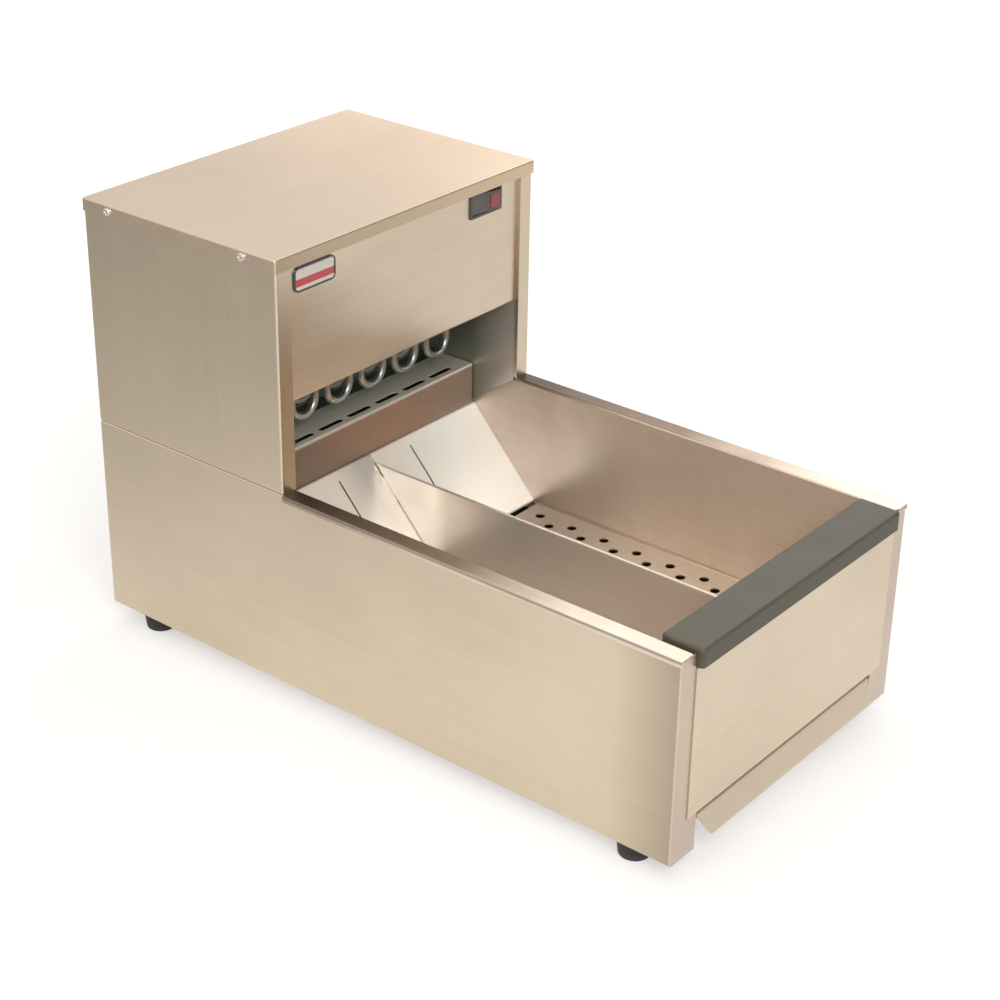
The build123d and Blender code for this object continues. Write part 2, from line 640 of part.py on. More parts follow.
# ---- Crumb tray ----
def crumb_tray():
    """Shallow tray. Its front is folded forwards under the front panel, and down into a pull lip."""
    half = TRAY_HALF
    front = FRONT + TRAY_SETBACK
    rear = FRONT + TRAY_LENGTH
    shell = block(-half, half, front, rear, TRAY_BASE, TRAY_TOP)
    hollow = block(-half + TRAY_SHEET, half - TRAY_SHEET, front + TRAY_SHEET, rear - TRAY_SHEET,
                   TRAY_BASE + TRAY_SHEET, TRAY_TOP + CUT)
    wide = SIDE - SIDE_RETURN - LIP_GAP
    narrow = wide - LIP_TAPER
    lip_low = TRAY_TOP - LIP_DROP
    inner = front + TRAY_SHEET
    points = [(inner, TRAY_BASE), (inner, TRAY_TOP), (FRONT + TRAY_SHEET, TRAY_TOP),
              (FRONT - LIP_REACH, lip_low)]
    lip = folded_across(points, Side.LEFT, wide, TRAY_SHEET, BEND)
    outline = Polyline(
        (-wide, TRAY_TOP), (wide, TRAY_TOP), (narrow, lip_low - TRAY_SHEET),
        (-narrow, lip_low - TRAY_SHEET), close=True,
    )
    outline = make_face(outline)
    outline = Plane.XZ * fillet(outline.vertices().group_by(Axis.Y)[0], LIP_CORNER)
    lip_zone = Pos(0, FRONT, 0) * extrude(outline, amount=LIP_REACH + CUT, dir=(0, -1, 0))
    tongue_zone = block(-wide, wide, FRONT, front - BEND, TRAY_BASE, TRAY_TOP)
    wall_zone = block(-half, half, front - BEND, inner, TRAY_BASE, TRAY_TOP)
    return shell - hollow + (lip & (lip_zone + tongue_zone + wall_zone))


def tray_runner():
    """Left runner: extruded aluminium with a foot, a guiding web, a ledge and an end stop."""
    web = -TRAY_HALF - TRAY_SIDE_GAP
    y0 = FRONT + RUNNER_SETBACK
    y1 = FRONT + TRAY_LENGTH + REST_GAP
    end = y1 + RUNNER_SHEET
    upright = block(web - RUNNER_SHEET, web, y0, end, PAN_TOP, PAN_TOP + RUNNER_HEIGHT)
    shoe = block(web - RUNNER_FOOT, web, y0, end, PAN_TOP, PAN_TOP + RUNNER_SHEET)
    ledge = block(web - RUNNER_SHEET, web + RUNNER_LEDGE, y0, end, RUNNER_TOP - RUNNER_SHEET,
                  RUNNER_TOP)
    stop = block(web - RUNNER_SHEET, web + RUNNER_LEDGE, y1, end, RUNNER_TOP - RUNNER_SHEET,
                 RUNNER_TOP + STOP_HEIGHT)
    return upright + shoe + ledge + stop


# ---- Head ----
def head_side():
    """Left side of the head, folded in all round, and back again beside the front panel."""
    roof = TOP - SHEET
    shell = block(-SIDE, -SIDE + HEAD_RETURN, HEAD_FRONT, REAR, RIM, roof)
    hollow = block(-SIDE + SHEET, 0, HEAD_FRONT + SHEET, REAR + CUT, RIM + SHEET, roof - SHEET)
    side = folds_rounded(shell, BEND) - folds_rounded(hollow, BEND - SHEET)
    beside_cheek = block(-SIDE + JOINT_FLANGE, 0, HEAD_FRONT + SHEET, REAR + CUT, RIM - CUT,
                         RIM + SHEET)
    for_back = block(-SIDE + SHEET, 0, REAR - SHEET, REAR + CUT, RIM - CUT, TOP)
    side = side - beside_cheek - for_back
    back_y = REAR - SHEET
    flange = block(-SIDE + SHEET, -SIDE + REAR_RETURN, back_y - SHEET, back_y, RIM + SHEET,
                   roof - SHEET)
    inner = -SIDE + HEAD_RETURN
    fold = block(inner - SHEET, inner, HEAD_FRONT + SHEET / 2, PANEL_FACE, RIM + SHEET,
                 roof - SHEET)
    side = side + flange + fold
    side = drilled(side, back_screw_places(RIM, TOP), (0, 1, 0), SCREW_HOLE_RADIUS, CUT)
    return drilled(side, lid_screw_places(-1), (1, 0, 0), SCREW_HOLE_RADIUS, CUT)


def head_front_panel():
    """Front of the head, behind the side flanges, with a foot flange and the switch's cut-out."""
    half = SIDE - HEAD_RETURN + FRONT_LAP
    high = TOP - 2 * SHEET - LAP
    low = RIM + OPENING_HEIGHT
    points = [(PANEL_FACE, high), (PANEL_FACE, low), (PANEL_FACE + PANEL_FOOT, low)]
    panel = folded_across(points, Side.LEFT, half)
    for sign in (-1, 1):
        x0, x1 = sorted((sign * (WALL - LAP), sign * SIDE))
        panel -= block(x0, x1, PANEL_FACE + SHEET, PANEL_FACE + PANEL_FOOT + CUT, low - CUT,
                       low + BEND)
    hole_width = BEZEL_WIDTH / 2 - BEZEL_BORDER + SWITCH_FIT
    hole_height = BEZEL_HEIGHT / 2 - BEZEL_BORDER + SWITCH_FIT
    hole = block(-hole_width, hole_width, -CUT, CUT, -hole_height, hole_height)
    return panel - Pos(*SWITCH_PLACE) * hole


def head_back_panel():
    """Back of the head, with vent slots and the cut-out for the power inlet."""
    half = SIDE - SHEET - LAP
    panel = block(-half, half, REAR - SHEET, REAR, RIM + LAP, TOP - SHEET - LAP)
    panel = drilled(panel, back_screw_places(RIM, TOP), (0, 1, 0), SCREW_HOLE_RADIUS, CUT)
    vent = extrude(Plane.XZ * SlotOverall(VENT_LENGTH, VENT_WIDTH), CUT, both=True)
    for row in range(VENT_COUNT):
        rise = (row - (VENT_COUNT - 1) / 2) * VENT_PITCH
        panel -= Pos(VENT_FROM_SIDE - SIDE, REAR, TOP - VENT_DROP + rise) * vent
    width = INLET_BODY_WIDTH / 2 + INLET_FIT
    height = INLET_BODY_HEIGHT / 2 + INLET_FIT
    return panel - Pos(*INLET_PLACE) * block(-width, width, -CUT, CUT, -height, height)


def lid():
    """Lid of the head: a shallow box turned down over the sides, front and back."""
    half = SIDE + LID_OVERHANG
    y0, y1 = HEAD_FRONT - LID_OVERHANG, REAR + LID_OVERHANG
    shell = block(-half, half, y0, y1, TOP - LID_DROP, TOP)
    shell = fillet(shell.edges().filter_by(Axis.Z), BEND)
    shell = fillet(shell.edges().group_by(Axis.Z)[-1], BEND * 0.75)
    hollow = block(-half + SHEET, half - SHEET, y0 + SHEET, y1 - SHEET, TOP - LID_DROP - CUT,
                   TOP - SHEET)
    shell = shell - fillet(hollow.edges().filter_by(Axis.Z), BEND - SHEET)
    for sign in (-1, 1):
        shell = drilled(shell, lid_screw_places(sign), (1, 0, 0), SCREW_HOLE_RADIUS, CUT)
    return shell


def head_cheek():
    """Left inner wall of the head's air space, with a flange at its top under the deck."""
    low = RIM - CHEEK_DROP
    points = [(-CHEEK, low), (-CHEEK, DECK), (-SIDE + SHEET + LAP, DECK)]
    return folded_lengthwise(points, Side.LEFT, PANEL_FACE + SHEET + LAP, DUCT_BACK - LAP)


def duct_wall():
    """Wall behind the chute, folded back at the rim into a slotted shelf under the heaters."""
    points = [(DUCT_WALL, CHUTE_TOP - WALL_LAP), (DUCT_WALL, RIM), (FAN_PLATE, RIM)]
    wall = folded_across(points, Side.RIGHT, WALL - LAP)
    slot = SlotOverall(SHELF_SLOT_LENGTH, SHELF_SLOT_WIDTH)
    cutter = extrude(slot, CUT, both=True)
    spots = GridLocations(SHELF_SLOT_PITCH, 1, SHELF_SLOT_COUNT, 1)
    place = Pos(0, DUCT_WALL + SHELF_SLOT_SETBACK, RIM)
    return wall - [place * spot * cutter for spot in spots]


def fan_plate():
    """Upright plate behind the heaters: the two fans blow through its round ports."""
    foot, head = FAN_PLATE - FAN_PLATE_FOOT, FAN_PLATE - PLATE_FLANGE
    points = [(foot, RIM), (FAN_PLATE, RIM), (FAN_PLATE, DECK), (head, DECK)]
    plate = folded_across(points, Side.LEFT, WALL)
    for sign in (-1, 1):
        plate = drilled(plate, [fan_centre(sign)], (0, 1, 0), FAN_PORT_RADIUS, CUT)
        plate = drilled(plate, fan_screw_places(sign), (0, 1, 0), SCREW_HOLE_RADIUS, CUT)
    return plate


def front_baffle():
    """Inner front wall of the head: it keeps the warm air off the front panel."""
    back = PANEL_FACE + PANEL_FOOT
    low = RIM + OPENING_HEIGHT + SHEET
    points = [(back - PLATE_FLANGE, DECK), (back, DECK), (back, low)]
    return folded_across(points, Side.RIGHT, WALL - LAP)


def duct_back_wall():
    """Back wall of the air duct, standing on the floor pan."""
    points = [(DUCT_BACK - PLATE_FLANGE, PAN_TOP), (DUCT_BACK, PAN_TOP), (DUCT_BACK, DECK)]
    return folded_across(points, Side.LEFT, WALL)


def deck():
    """Floor of the electrical space, with holes for the ends of the heaters."""
    half = SIDE - SHEET - LAP
    plate = block(-half, half, PANEL_FACE + SHEET + LAP, REAR - 2 * SHEET - LAP, DECK,
                  DECK + SHEET)
    return drilled(plate, heater_end_places(), (0, 0, 1), TUBE_RADIUS + BUSH_GAP, CUT)


def insulation():
    """Left insulation blanket, between the cheek and the outer side."""
    inner = -CHEEK - SHEET - BLANKET_GAP
    outer = -SIDE + SHEET + BLANKET_GAP
    low = RIM + SHEET + BLANKET_GAP
    return block(outer, inner, PANEL_FACE + BLANKET_SETBACK, DUCT_BACK - BLANKET_SETBACK, low,
                 DECK - SHEET - BLANKET_GAP)


# ---- Heating elements ----
def heater(loops, setback):
    """One sheathed tube bent into wide hanging loops, its two ends rising through the deck."""
    y = DUCT_WALL + setback
    wide, narrow = LOOP_WIDTH / 2, (LOOP_PITCH - LOOP_WIDTH) / 2
    low, high = RIM + HEATER_LOW + wide, DECK - HEATER_HIGH_DROP - narrow
    top = DECK + TERMINAL_RISE
    legs = heater_leg_places(loops)
    path = []
    for left, right in zip(legs[::2], legs[1::2]):
        start = top if left == legs[0] else high
        end = top if right == legs[-1] else high
        path.append(Line((left, y, start), (left, y, low)))
        path.append(ThreePointArc((left, y, low), (left + wide, y, low - wide), (right, y, low)))
        path.append(Line((right, y, low), (right, y, end)))
    for right, left in zip(legs[1:-1:2], legs[2::2]):
        crest = (right + narrow, y, high + narrow)
        path.append(ThreePointArc((right, y, high), crest, (left, y, high)))
    start = Plane(origin=(legs[0], y, top), z_dir=(0, 0, -1))
    return sweep(start * Circle(TUBE_RADIUS), path=Wire(path))


def heater_bush(place):
    """Ceramic bush that holds one end of a heater on the deck."""
    x, y, z = place
    low = z + SHEET
    body = rod(BUSH_RADIUS, (x, y, low), (x, y, low + BUSH_HEIGHT))
    body = fillet(body.edges().group_by(Axis.Z)[-1], SHEET)
    return body - rod(TUBE_RADIUS + BUSH_GAP, (x, y, z), (x, y, z + 2 * BUSH_HEIGHT))


# ---- Fans, made at the origin: air leaves at Y = 0 and the motor is towards +Y ----
def fan_frame():
    """Square fan frame: a round duct, struts, a motor plate and the sleeve of the shaft."""
    half = FAN_SIZE / 2
    body = block(-half, half, 0, FAN_DEPTH, -half, half)
    body = fillet(body.edges().filter_by(Axis.Y), FAN_ROUND)
    body = body - rod(FAN_DUCT_RADIUS, (0, -CUT, 0), (0, FAN_DEPTH + CUT, 0))
    start = FAN_DEPTH - STRUT_DEPTH
    across = block(-half, half, start, FAN_DEPTH, -STRUT_WIDTH / 2, STRUT_WIDTH / 2)
    across = across & rod(FAN_DUCT_RADIUS + SHEET, (0, start, 0), (0, FAN_DEPTH, 0))
    body = body + Rot(0, 45, 0) * across + Rot(0, -45, 0) * across
    body = body + rod(MOTOR_PLATE_RADIUS, (0, start, 0), (0, FAN_DEPTH, 0))
    body = body + rod(SLEEVE_RADIUS, (0, FAN_DEPTH - SLEEVE_LENGTH, 0), (0, FAN_DEPTH, 0))
    body = body - rod(SHAFT_RADIUS + SHAFT_RUN, (0, 0, 0), (0, FAN_DEPTH + CUT, 0))
    corner = FAN_SCREW_SPACING / 2
    corners = [(i * corner, 0, j * corner) for i in (-1, 1) for j in (-1, 1)]
    return drilled(body, corners, (0, 1, 0), SCREW_HOLE_RADIUS, 2 * FAN_DEPTH)


def fan_motor():
    """Stator of a fan's motor: a slotted core on the sleeve, behind the motor plate."""
    end = FAN_DEPTH - STRUT_DEPTH
    core = rod(STATOR_RADIUS, (0, end - STATOR_LENGTH, 0), (0, end, 0))
    core = core - rod(SLEEVE_RADIUS, (0, 0, 0), (0, FAN_DEPTH, 0))
    slot = block(-SHEET, SHEET, end - STATOR_LENGTH - CUT, end - SHEET, STATOR_RADIUS * 0.55,
                 STATOR_RADIUS + CUT)
    turn = 360 / STATOR_SLOT_COUNT
    return core - [Rot(0, i * turn, 0) * slot for i in range(STATOR_SLOT_COUNT)]


def fan_rotor():
    """Rotor of a fan: a cup over the motor, its shaft, and the slanted blades around it."""
    end = HUB_SETBACK + HUB_LENGTH
    hub = rod(HUB_RADIUS, (0, HUB_SETBACK, 0), (0, end, 0))
    hub = fillet(hub.edges().group_by(Axis.Y)[0], HUB_WALL / 2)
    hub = hub - rod(HUB_RADIUS - HUB_WALL, (0, HUB_SETBACK + HUB_WALL, 0), (0, end + CUT, 0))
    hub = hub + rod(SHAFT_RADIUS, (0, HUB_SETBACK + SHEET, 0), (0, FAN_DEPTH - SHEET, 0))
    tip = FAN_DUCT_RADIUS - BLADE_TIP_GAP
    ring = rod(tip, (0, HUB_SETBACK, 0), (0, end, 0))
    ring = ring - rod(HUB_RADIUS - HUB_WALL / 2, (0, 0, 0), (0, end + CUT, 0))
    blade = Box(BLADE_CHORD, BLADE_THICKNESS, tip, align=(Align.CENTER, Align.CENTER, Align.MIN))
    blade = Pos(0, HUB_SETBACK + HUB_LENGTH / 2, 0) * Rot(0, 0, BLADE_PITCH) * blade
    blade = blade & ring
    return hub + [Rot(0, i * 360 / BLADE_COUNT, 0) * blade for i in range(BLADE_COUNT)]


# ---- Power switch, made at the origin: bezel face at Y = 0, pivot axis along Z ----
def switch_body():
    """Switch body: a bezel, a box behind it with a pocket for the rocker, and two spades."""
    half_w, half_h = BEZEL_WIDTH / 2, BEZEL_HEIGHT / 2
    body_w, body_h = half_w - BEZEL_BORDER, half_h - BEZEL_BORDER
    bezel = block(-half_w, half_w, 0, BEZEL_PROUD, -half_h, half_h)
    bezel = fillet(bezel.edges().filter_by(Axis.Y), BEZEL_BORDER)
    bezel = fillet(bezel.edges().group_by(Axis.Y)[0], BEZEL_PROUD / 3)
    body = bezel + block(-body_w, body_w, 0, SWITCH_DEPTH, -body_h, body_h)
    pocket_w, pocket_h = body_w - SWITCH_WALL, body_h - SWITCH_WALL
    body = body - block(-pocket_w, pocket_w, -CUT, POCKET_DEPTH, -pocket_h, pocket_h)
    reach = pocket_h + PIVOT_REACH
    bore = rod(PIVOT_RADIUS + PIVOT_RUN, (0, PIVOT_SETBACK, -reach), (0, PIVOT_SETBACK, reach))
    body = body - bore
    end = SWITCH_DEPTH + SPADE_LENGTH
    spades = [block(x - SHEET * 2.5, x + SHEET * 2.5, SWITCH_DEPTH, end, -SHEET / 3, SHEET / 3)
              for x in (-body_w / 2, body_w / 2)]
    return body + spades


def rocker_height():
    return BEZEL_HEIGHT - 2 * BEZEL_BORDER - 2 * SWITCH_WALL - 2 * ROCKER_GAP


def lens_block(fit, depth):
    """Place of the lens on the right half of a level rocker. fit is taken off each side."""
    run = ROCKER_HALF - LENS_LENGTH / 2 - BEZEL_BORDER
    rise = ROCKER_MIDDLE + (ROCKER_CREST - ROCKER_MIDDLE) * run / ROCKER_HALF
    lens = Box(LENS_LENGTH - 2 * fit, depth, LENS_HEIGHT - 2 * fit, align=(
        Align.CENTER, Align.MIN, Align.CENTER))
    return Pos(run, -rise, 0) * lens


def rocker_level():
    """Rocker, level, with its pivot at the origin, two stub pins and a seat for the lens."""
    half = ROCKER_HALF
    outline = Polyline(
        (-half, -ROCKER_CREST), (0, -ROCKER_MIDDLE), (half, -ROCKER_CREST),
        (half * 0.92, -PIVOT_RADIUS), (half * 0.25, ROCKER_BACK), (-half * 0.25, ROCKER_BACK),
        (-half * 0.92, -PIVOT_RADIUS), close=True,
    )
    height = rocker_height()
    body = extrude(make_face(outline), height / 2, both=True)
    body = fillet(body.edges().filter_by(Axis.Z).group_by(Axis.Y)[0], PIVOT_RADIUS / 2)
    reach = height / 2 + ROCKER_GAP + PIVOT_REACH - SWITCH_FIT
    body = body + rod(PIVOT_RADIUS, (0, 0, -reach), (0, 0, reach))
    return body - Pos(0, -CUT, 0) * lens_block(0, CUT + LENS_DEPTH)


def rocker_at_rest(part):
    """Tilted so that its left half is pressed in, and moved to its pivot in the switch."""
    return Pos(0, PIVOT_SETBACK, 0) * Rot(0, 0, -ROCKER_TILT) * part


def switch_lens():
    """Red lens seated in the right half of the rocker."""
    return Pos(0, -LENS_PROUD, 0) * lens_block(LENS_FIT, LENS_PROUD + LENS_DEPTH)


def in_switch(part):
    return Pos(*SWITCH_PLACE) * part


def badge_plate():
    """Rounded plate with a raised border and a bare field."""
    outer = RectangleRounded(BADGE_WIDTH, BADGE_HEIGHT, BADGE_CORNER)
    inner = RectangleRounded(BADGE_WIDTH - 2 * BADGE_BORDER, BADGE_HEIGHT - 2 * BADGE_BORDER,
                             BADGE_CORNER - BADGE_BORDER)
    plate = extrude(Plane.XZ * outer, BADGE_THICKNESS)
    field = extrude(Plane.XZ * inner, BADGE_RECESS)
    plate = plate - Pos(0, BADGE_RECESS - BADGE_THICKNESS, 0) * field
    return Pos(BADGE_FROM_SIDE - SIDE, PANEL_FACE, TOP - BADGE_DROP) * plate


# ---- Electrical parts ----
def power_inlet():
    """Flanged power inlet in the head's back panel, with a socket open to the back."""
    half_w, half_h = INLET_WIDTH / 2, INLET_HEIGHT / 2
    body_w, body_h = INLET_BODY_WIDTH / 2, INLET_BODY_HEIGHT / 2
    flange = block(-half_w, half_w, 0, INLET_PROUD, -half_h, half_h)
    flange = fillet(flange.edges().filter_by(Axis.Y), SOCKET_CORNER)
    body = flange + block(-body_w, body_w, -INLET_BODY_DEPTH, INLET_PROUD, -body_h, body_h)
    socket_w, socket_h = SOCKET_WIDTH / 2, SOCKET_HEIGHT / 2
    end = INLET_PROUD - SOCKET_DEPTH
    socket = block(-socket_w, socket_w, end, INLET_PROUD + CUT, -socket_h, socket_h)
    socket = fillet(socket.edges().filter_by(Axis.Y).group_by(Axis.Z)[-1], SOCKET_CORNER)
    return Pos(*INLET_PLACE) * (body - socket)


def inlet_pins():
    """Three flat pins standing in the socket of the power inlet."""
    end = INLET_PROUD - SOCKET_DEPTH
    pins = []
    for step, z in ((-1, -PIN_LOW), (0, 0.0), (1, -PIN_LOW)):
        x = step * PIN_SPACING
        pin = block(x - PIN_WIDTH / 2, x + PIN_WIDTH / 2, end, end + PIN_LENGTH,
                    z - PIN_HEIGHT / 2, z + PIN_HEIGHT / 2)
        pins.append(Pos(*INLET_PLACE) * pin)
    return pins


def terminal_block():
    """Terminal block on the deck, with a row of wells for its clamping screws."""
    half_l, half_w = BLOCK_LENGTH / 2, BLOCK_WIDTH / 2
    low = DECK + SHEET
    y = REAR - BLOCK_SETBACK
    base = block(BLOCK_X - half_l, BLOCK_X + half_l, y - half_w, y + half_w, low,
                 low + BLOCK_HEIGHT)
    base = fillet(base.edges().filter_by(Axis.Z), SHEET)
    pitch = BLOCK_LENGTH / BLOCK_WAY_COUNT
    spots = GridLocations(pitch, half_w, BLOCK_WAY_COUNT, 2)
    wells = [rod(pitch / 4, (BLOCK_X + s.position.X, y + s.position.Y, low + BLOCK_HEIGHT * 0.4),
                 (BLOCK_X + s.position.X, y + s.position.Y, low + BLOCK_HEIGHT + CUT))
             for s in spots]
    return base - wells


def thermostat(x):
    """Disc thermostat with two fixing ears, standing on the deck above the air space."""
    y = DUCT_WALL + THERMOSTAT_SETBACK
    low = DECK + SHEET
    can = rod(THERMOSTAT_RADIUS, (x, y, low), (x, y, low + THERMOSTAT_HEIGHT))
    can = fillet(can.edges().group_by(Axis.Z)[-1], SHEET)
    ears = block(x - THERMOSTAT_EAR / 2, x + THERMOSTAT_EAR / 2, y - THERMOSTAT_RADIUS / 2,
                 y + THERMOSTAT_RADIUS / 2, low, low + SHEET)
    spade = block(-SHEET, SHEET, -SHEET / 3, SHEET / 3, 0, SHEET + SPADE_LENGTH)
    top = low + THERMOSTAT_HEIGHT - SHEET
    spades = [Pos(x + sign * SPADE_SPACING / 2, y, top) * spade for sign in (-1, 1)]
    return can + ears + spades


def harness(points):
    """A bundle of wires along straight runs with rounded corners."""
    line = FilletPolyline(*points, radius=HARNESS_BEND)
    start = Vector(points[0])
    plane = Plane(origin=start, z_dir=Vector(points[1]) - start)
    return sweep(plane * Circle(HARNESS_RADIUS), path=line)


def supply_harness():
    """From the back of the power inlet, down and along the deck to the terminal block."""
    x, y, high = INLET_PLACE
    start, turn = y - INLET_BODY_DEPTH, y - BLOCK_SETBACK
    low = DECK + SHEET + REST_GAP + HARNESS_RADIUS
    end = BLOCK_X + BLOCK_LENGTH / 2
    return harness([(x, start, high), (x, turn, high), (x, turn, low), (end, turn, low)])


def switch_harness():
    """From the back of the switch, down and along the deck to the terminal block."""
    x, y, high = SWITCH_PLACE
    start = y + SWITCH_DEPTH
    turn = start + HARNESS_RUN
    low = DECK + SHEET + REST_GAP + HARNESS_RADIUS
    end = REAR - BLOCK_SETBACK - BLOCK_WIDTH / 2
    return harness([(x, start, high), (x, turn, high), (x, turn, low), (BLOCK_X, turn, low),
                    (BLOCK_X, end, low)])


# ---- Writing one file for each piece ----
def nodes():
    """Every piece by its name. A list is a group of like pieces."""
    left_side, left_head = base_side(), head_side()
    left_wall, left_cheek = bin_side_wall(), head_cheek()
    runner, blanket = tray_runner(), insulation()
    frame, motor, rotor = fan_frame(), fan_motor(), fan_rotor()
    left_fan, right_fan = Pos(*fan_centre(-1)), Pos(*fan_centre(1))
    found = {
        "base_side_left": left_side,
        "base_side_right": other_side(left_side),
        "base_front_panel": base_front_panel(),
        "base_back_panel": base_back_panel(),
        "bottom_pan": bottom_pan(),
        "front_bar": front_bar(),
        "bin_wall_left": left_wall,
        "bin_wall_right": other_side(left_wall),
        "bin_wall_front": bin_front_wall(),
        "chute": chute(),
        "bin_floor": bin_floor(),
        "divider": divider(),
        "divider_clips": [divider_clip(x) for x in DIVIDER_PLACES],
        "crumb_tray": crumb_tray(),
        "tray_runner_left": runner,
        "tray_runner_right": other_side(runner),
        "head_side_left": left_head,
        "head_side_right": other_side(left_head),
        "head_front_panel": head_front_panel(),
        "head_back_panel": head_back_panel(),
        "lid": lid(),
        "head_cheek_left": left_cheek,
        "head_cheek_right": other_side(left_cheek),
        "duct_wall": duct_wall(),
        "duct_back_wall": duct_back_wall(),
        "front_baffle": front_baffle(),
        "fan_plate": fan_plate(),
        "deck": deck(),
        "insulation_left": blanket,
        "insulation_right": other_side(blanket),
        "heater_front": heater(FRONT_LOOP_COUNT, FRONT_HEATER_SETBACK),
        "heater_rear": heater(REAR_LOOP_COUNT, REAR_HEATER_SETBACK),
        "heater_bushes": [heater_bush(place) for place in heater_end_places()],
        "fan_frame_left": left_fan * frame,
        "fan_frame_right": right_fan * frame,
        "fan_motor_left": left_fan * motor,
        "fan_motor_right": right_fan * motor,
        "fan_rotor_left": left_fan * rotor,
        "fan_rotor_right": right_fan * rotor,
        "switch_body": in_switch(switch_body()),
        "switch_rocker": in_switch(rocker_at_rest(rocker_level())),
        "switch_lens": in_switch(rocker_at_rest(switch_lens())),
        "badge_plate": badge_plate(),
        "power_inlet": power_inlet(),
        "inlet_pins": inlet_pins(),
        "terminal_block": terminal_block(),
        "control_thermostat": thermostat(CONTROL_STAT_X),
        "limit_thermostat": thermostat(LIMIT_STAT_X),
        "supply_harness": supply_harness(),
        "switch_harness": switch_harness(),
        "bar_screws": small_screws(bar_screw_places(), (0, 0, -1), BAR_SCREW_LENGTH),
        "lid_screws": (small_screws(lid_screw_places(-1), (-1, 0, 0), SCREW_LENGTH)
                       + small_screws(lid_screw_places(1), (1, 0, 0), SCREW_LENGTH)),
        "back_screws": small_screws(back_screw_places(BOTTOM, RIM) + back_screw_places(RIM, TOP),
                                    (0, 1, 0), SCREW_LENGTH),
        "fan_screws": small_screws(fan_screw_places(-1) + fan_screw_places(1), (0, -1, 0),
                                   FAN_SCREW_LENGTH),
        "foot_screws": screws_at([(x, y, PAN_TOP) for x, y, z in foot_hole_places()], (0, 0, 1),
                                 FOOT_SCREW_HEAD, FOOT_SCREW_HEAD_HEIGHT, FOOT_SCREW_RADIUS,
                                 FOOT_SCREW_LENGTH),
    }
    one_foot = foot()
    for name, (x, y) in foot_places().items():
        found[name] = Pos(x, y, 0) * one_foot
    return found


def as_shape(piece):
    """One shape to write: a group of like pieces becomes one compound of separate solids."""
    solids = piece if isinstance(piece, list) else [piece]
    parts = [solid for item in solids for solid in item.solids()]
    return parts[0] if len(parts) == 1 else Compound(children=parts)


os.makedirs("parts", exist_ok=True)
for name, piece in nodes().items():
    export_step(as_shape(piece), f"parts/{name}.step")
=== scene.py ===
import math

import bpy
from mathutils import Matrix, Vector


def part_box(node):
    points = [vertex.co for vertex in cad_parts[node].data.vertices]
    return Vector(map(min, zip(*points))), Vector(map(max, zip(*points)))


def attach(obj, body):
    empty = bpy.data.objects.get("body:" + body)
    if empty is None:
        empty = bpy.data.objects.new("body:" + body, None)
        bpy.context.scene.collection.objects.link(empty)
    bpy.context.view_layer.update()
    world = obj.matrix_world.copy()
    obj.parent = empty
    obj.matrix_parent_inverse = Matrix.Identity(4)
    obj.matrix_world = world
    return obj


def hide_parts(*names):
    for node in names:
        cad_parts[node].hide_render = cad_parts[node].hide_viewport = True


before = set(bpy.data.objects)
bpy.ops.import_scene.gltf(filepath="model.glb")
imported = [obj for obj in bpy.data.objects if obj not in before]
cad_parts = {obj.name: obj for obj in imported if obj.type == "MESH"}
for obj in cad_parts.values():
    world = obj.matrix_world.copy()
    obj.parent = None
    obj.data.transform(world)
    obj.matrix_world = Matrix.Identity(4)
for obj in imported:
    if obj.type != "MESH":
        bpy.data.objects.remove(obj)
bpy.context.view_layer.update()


# ---- Base side panels ----
# Brushed stainless sheet, folded in at the front, bottom and back, with the grain running along
# the body. Everything else in the base is carried between them. Satin, a little cloudy where it
# has been wiped, with painted shade at the front end of each side and on its folded-in front
# strip.
STAINLESS = (0.68, 0.575, 0.445)
GRAIN_PER_METRE = 300.0      # brush lines across the grain
GRAIN_STRETCH = 0.012        # how little they change along it
FRONT_END_SHADE = (0.64, 0.62, 0.60)  # painted shade: the scale of the sheet's colour at its front end
FRONT_SHADE_FROM = -0.28         # Y where that starts, and Y of the front edge
FRONT_SHADE_TO = -0.35
STRIP_SHADE = (0.86, 0.84, 0.90)  # painted shade: the same for the folded-in front strips


def shade(name):
    """A new material and the node that builds its surface."""
    material = bpy.data.materials.new(name)
    material.use_nodes = True
    return material, material.node_tree.nodes, material.node_tree.links


def cloud(nodes, links, scale, detail=3.0, stretch=(1, 1, 1), roughness=0.5):
    """Soft noise laid out in the piece's own space, stretched along its grain."""
    where = nodes.new("ShaderNodeTexCoord")
    move = nodes.new("ShaderNodeMapping")
    move.inputs["Scale"].default_value = stretch
    noise = nodes.new("ShaderNodeTexNoise")
    noise.inputs["Scale"].default_value = scale
    noise.inputs["Detail"].default_value = detail
    noise.inputs["Roughness"].default_value = roughness
    links.new(where.outputs["Object"], move.inputs["Vector"])
    links.new(move.outputs["Vector"], noise.inputs["Vector"])
    return noise.outputs["Fac"]


def spread(nodes, links, value, low, high, start=0.3, end=0.7):
    """The value carried from the range start to end over to the range low to high."""
    ranged = nodes.new("ShaderNodeMapRange")
    ranged.inputs["From Min"].default_value = start
    ranged.inputs["From Max"].default_value = end
    ranged.inputs["To Min"].default_value = low
    ranged.inputs["To Max"].default_value = high
    links.new(value, ranged.inputs["Value"])
    return ranged.outputs["Result"]


def blend_colours(nodes, links, factor, first, second):
    """First colour where the factor is 0, second where it is 1."""
    mix = nodes.new("ShaderNodeMix")
    mix.data_type = "RGBA"
    for socket, colour in ((mix.inputs["A"], first), (mix.inputs["B"], second)):
        if isinstance(colour, tuple):
            socket.default_value = (*colour, 1.0)
        else:
            links.new(colour, socket)
    links.new(factor, mix.inputs["Factor"])
    return mix.outputs["Result"]


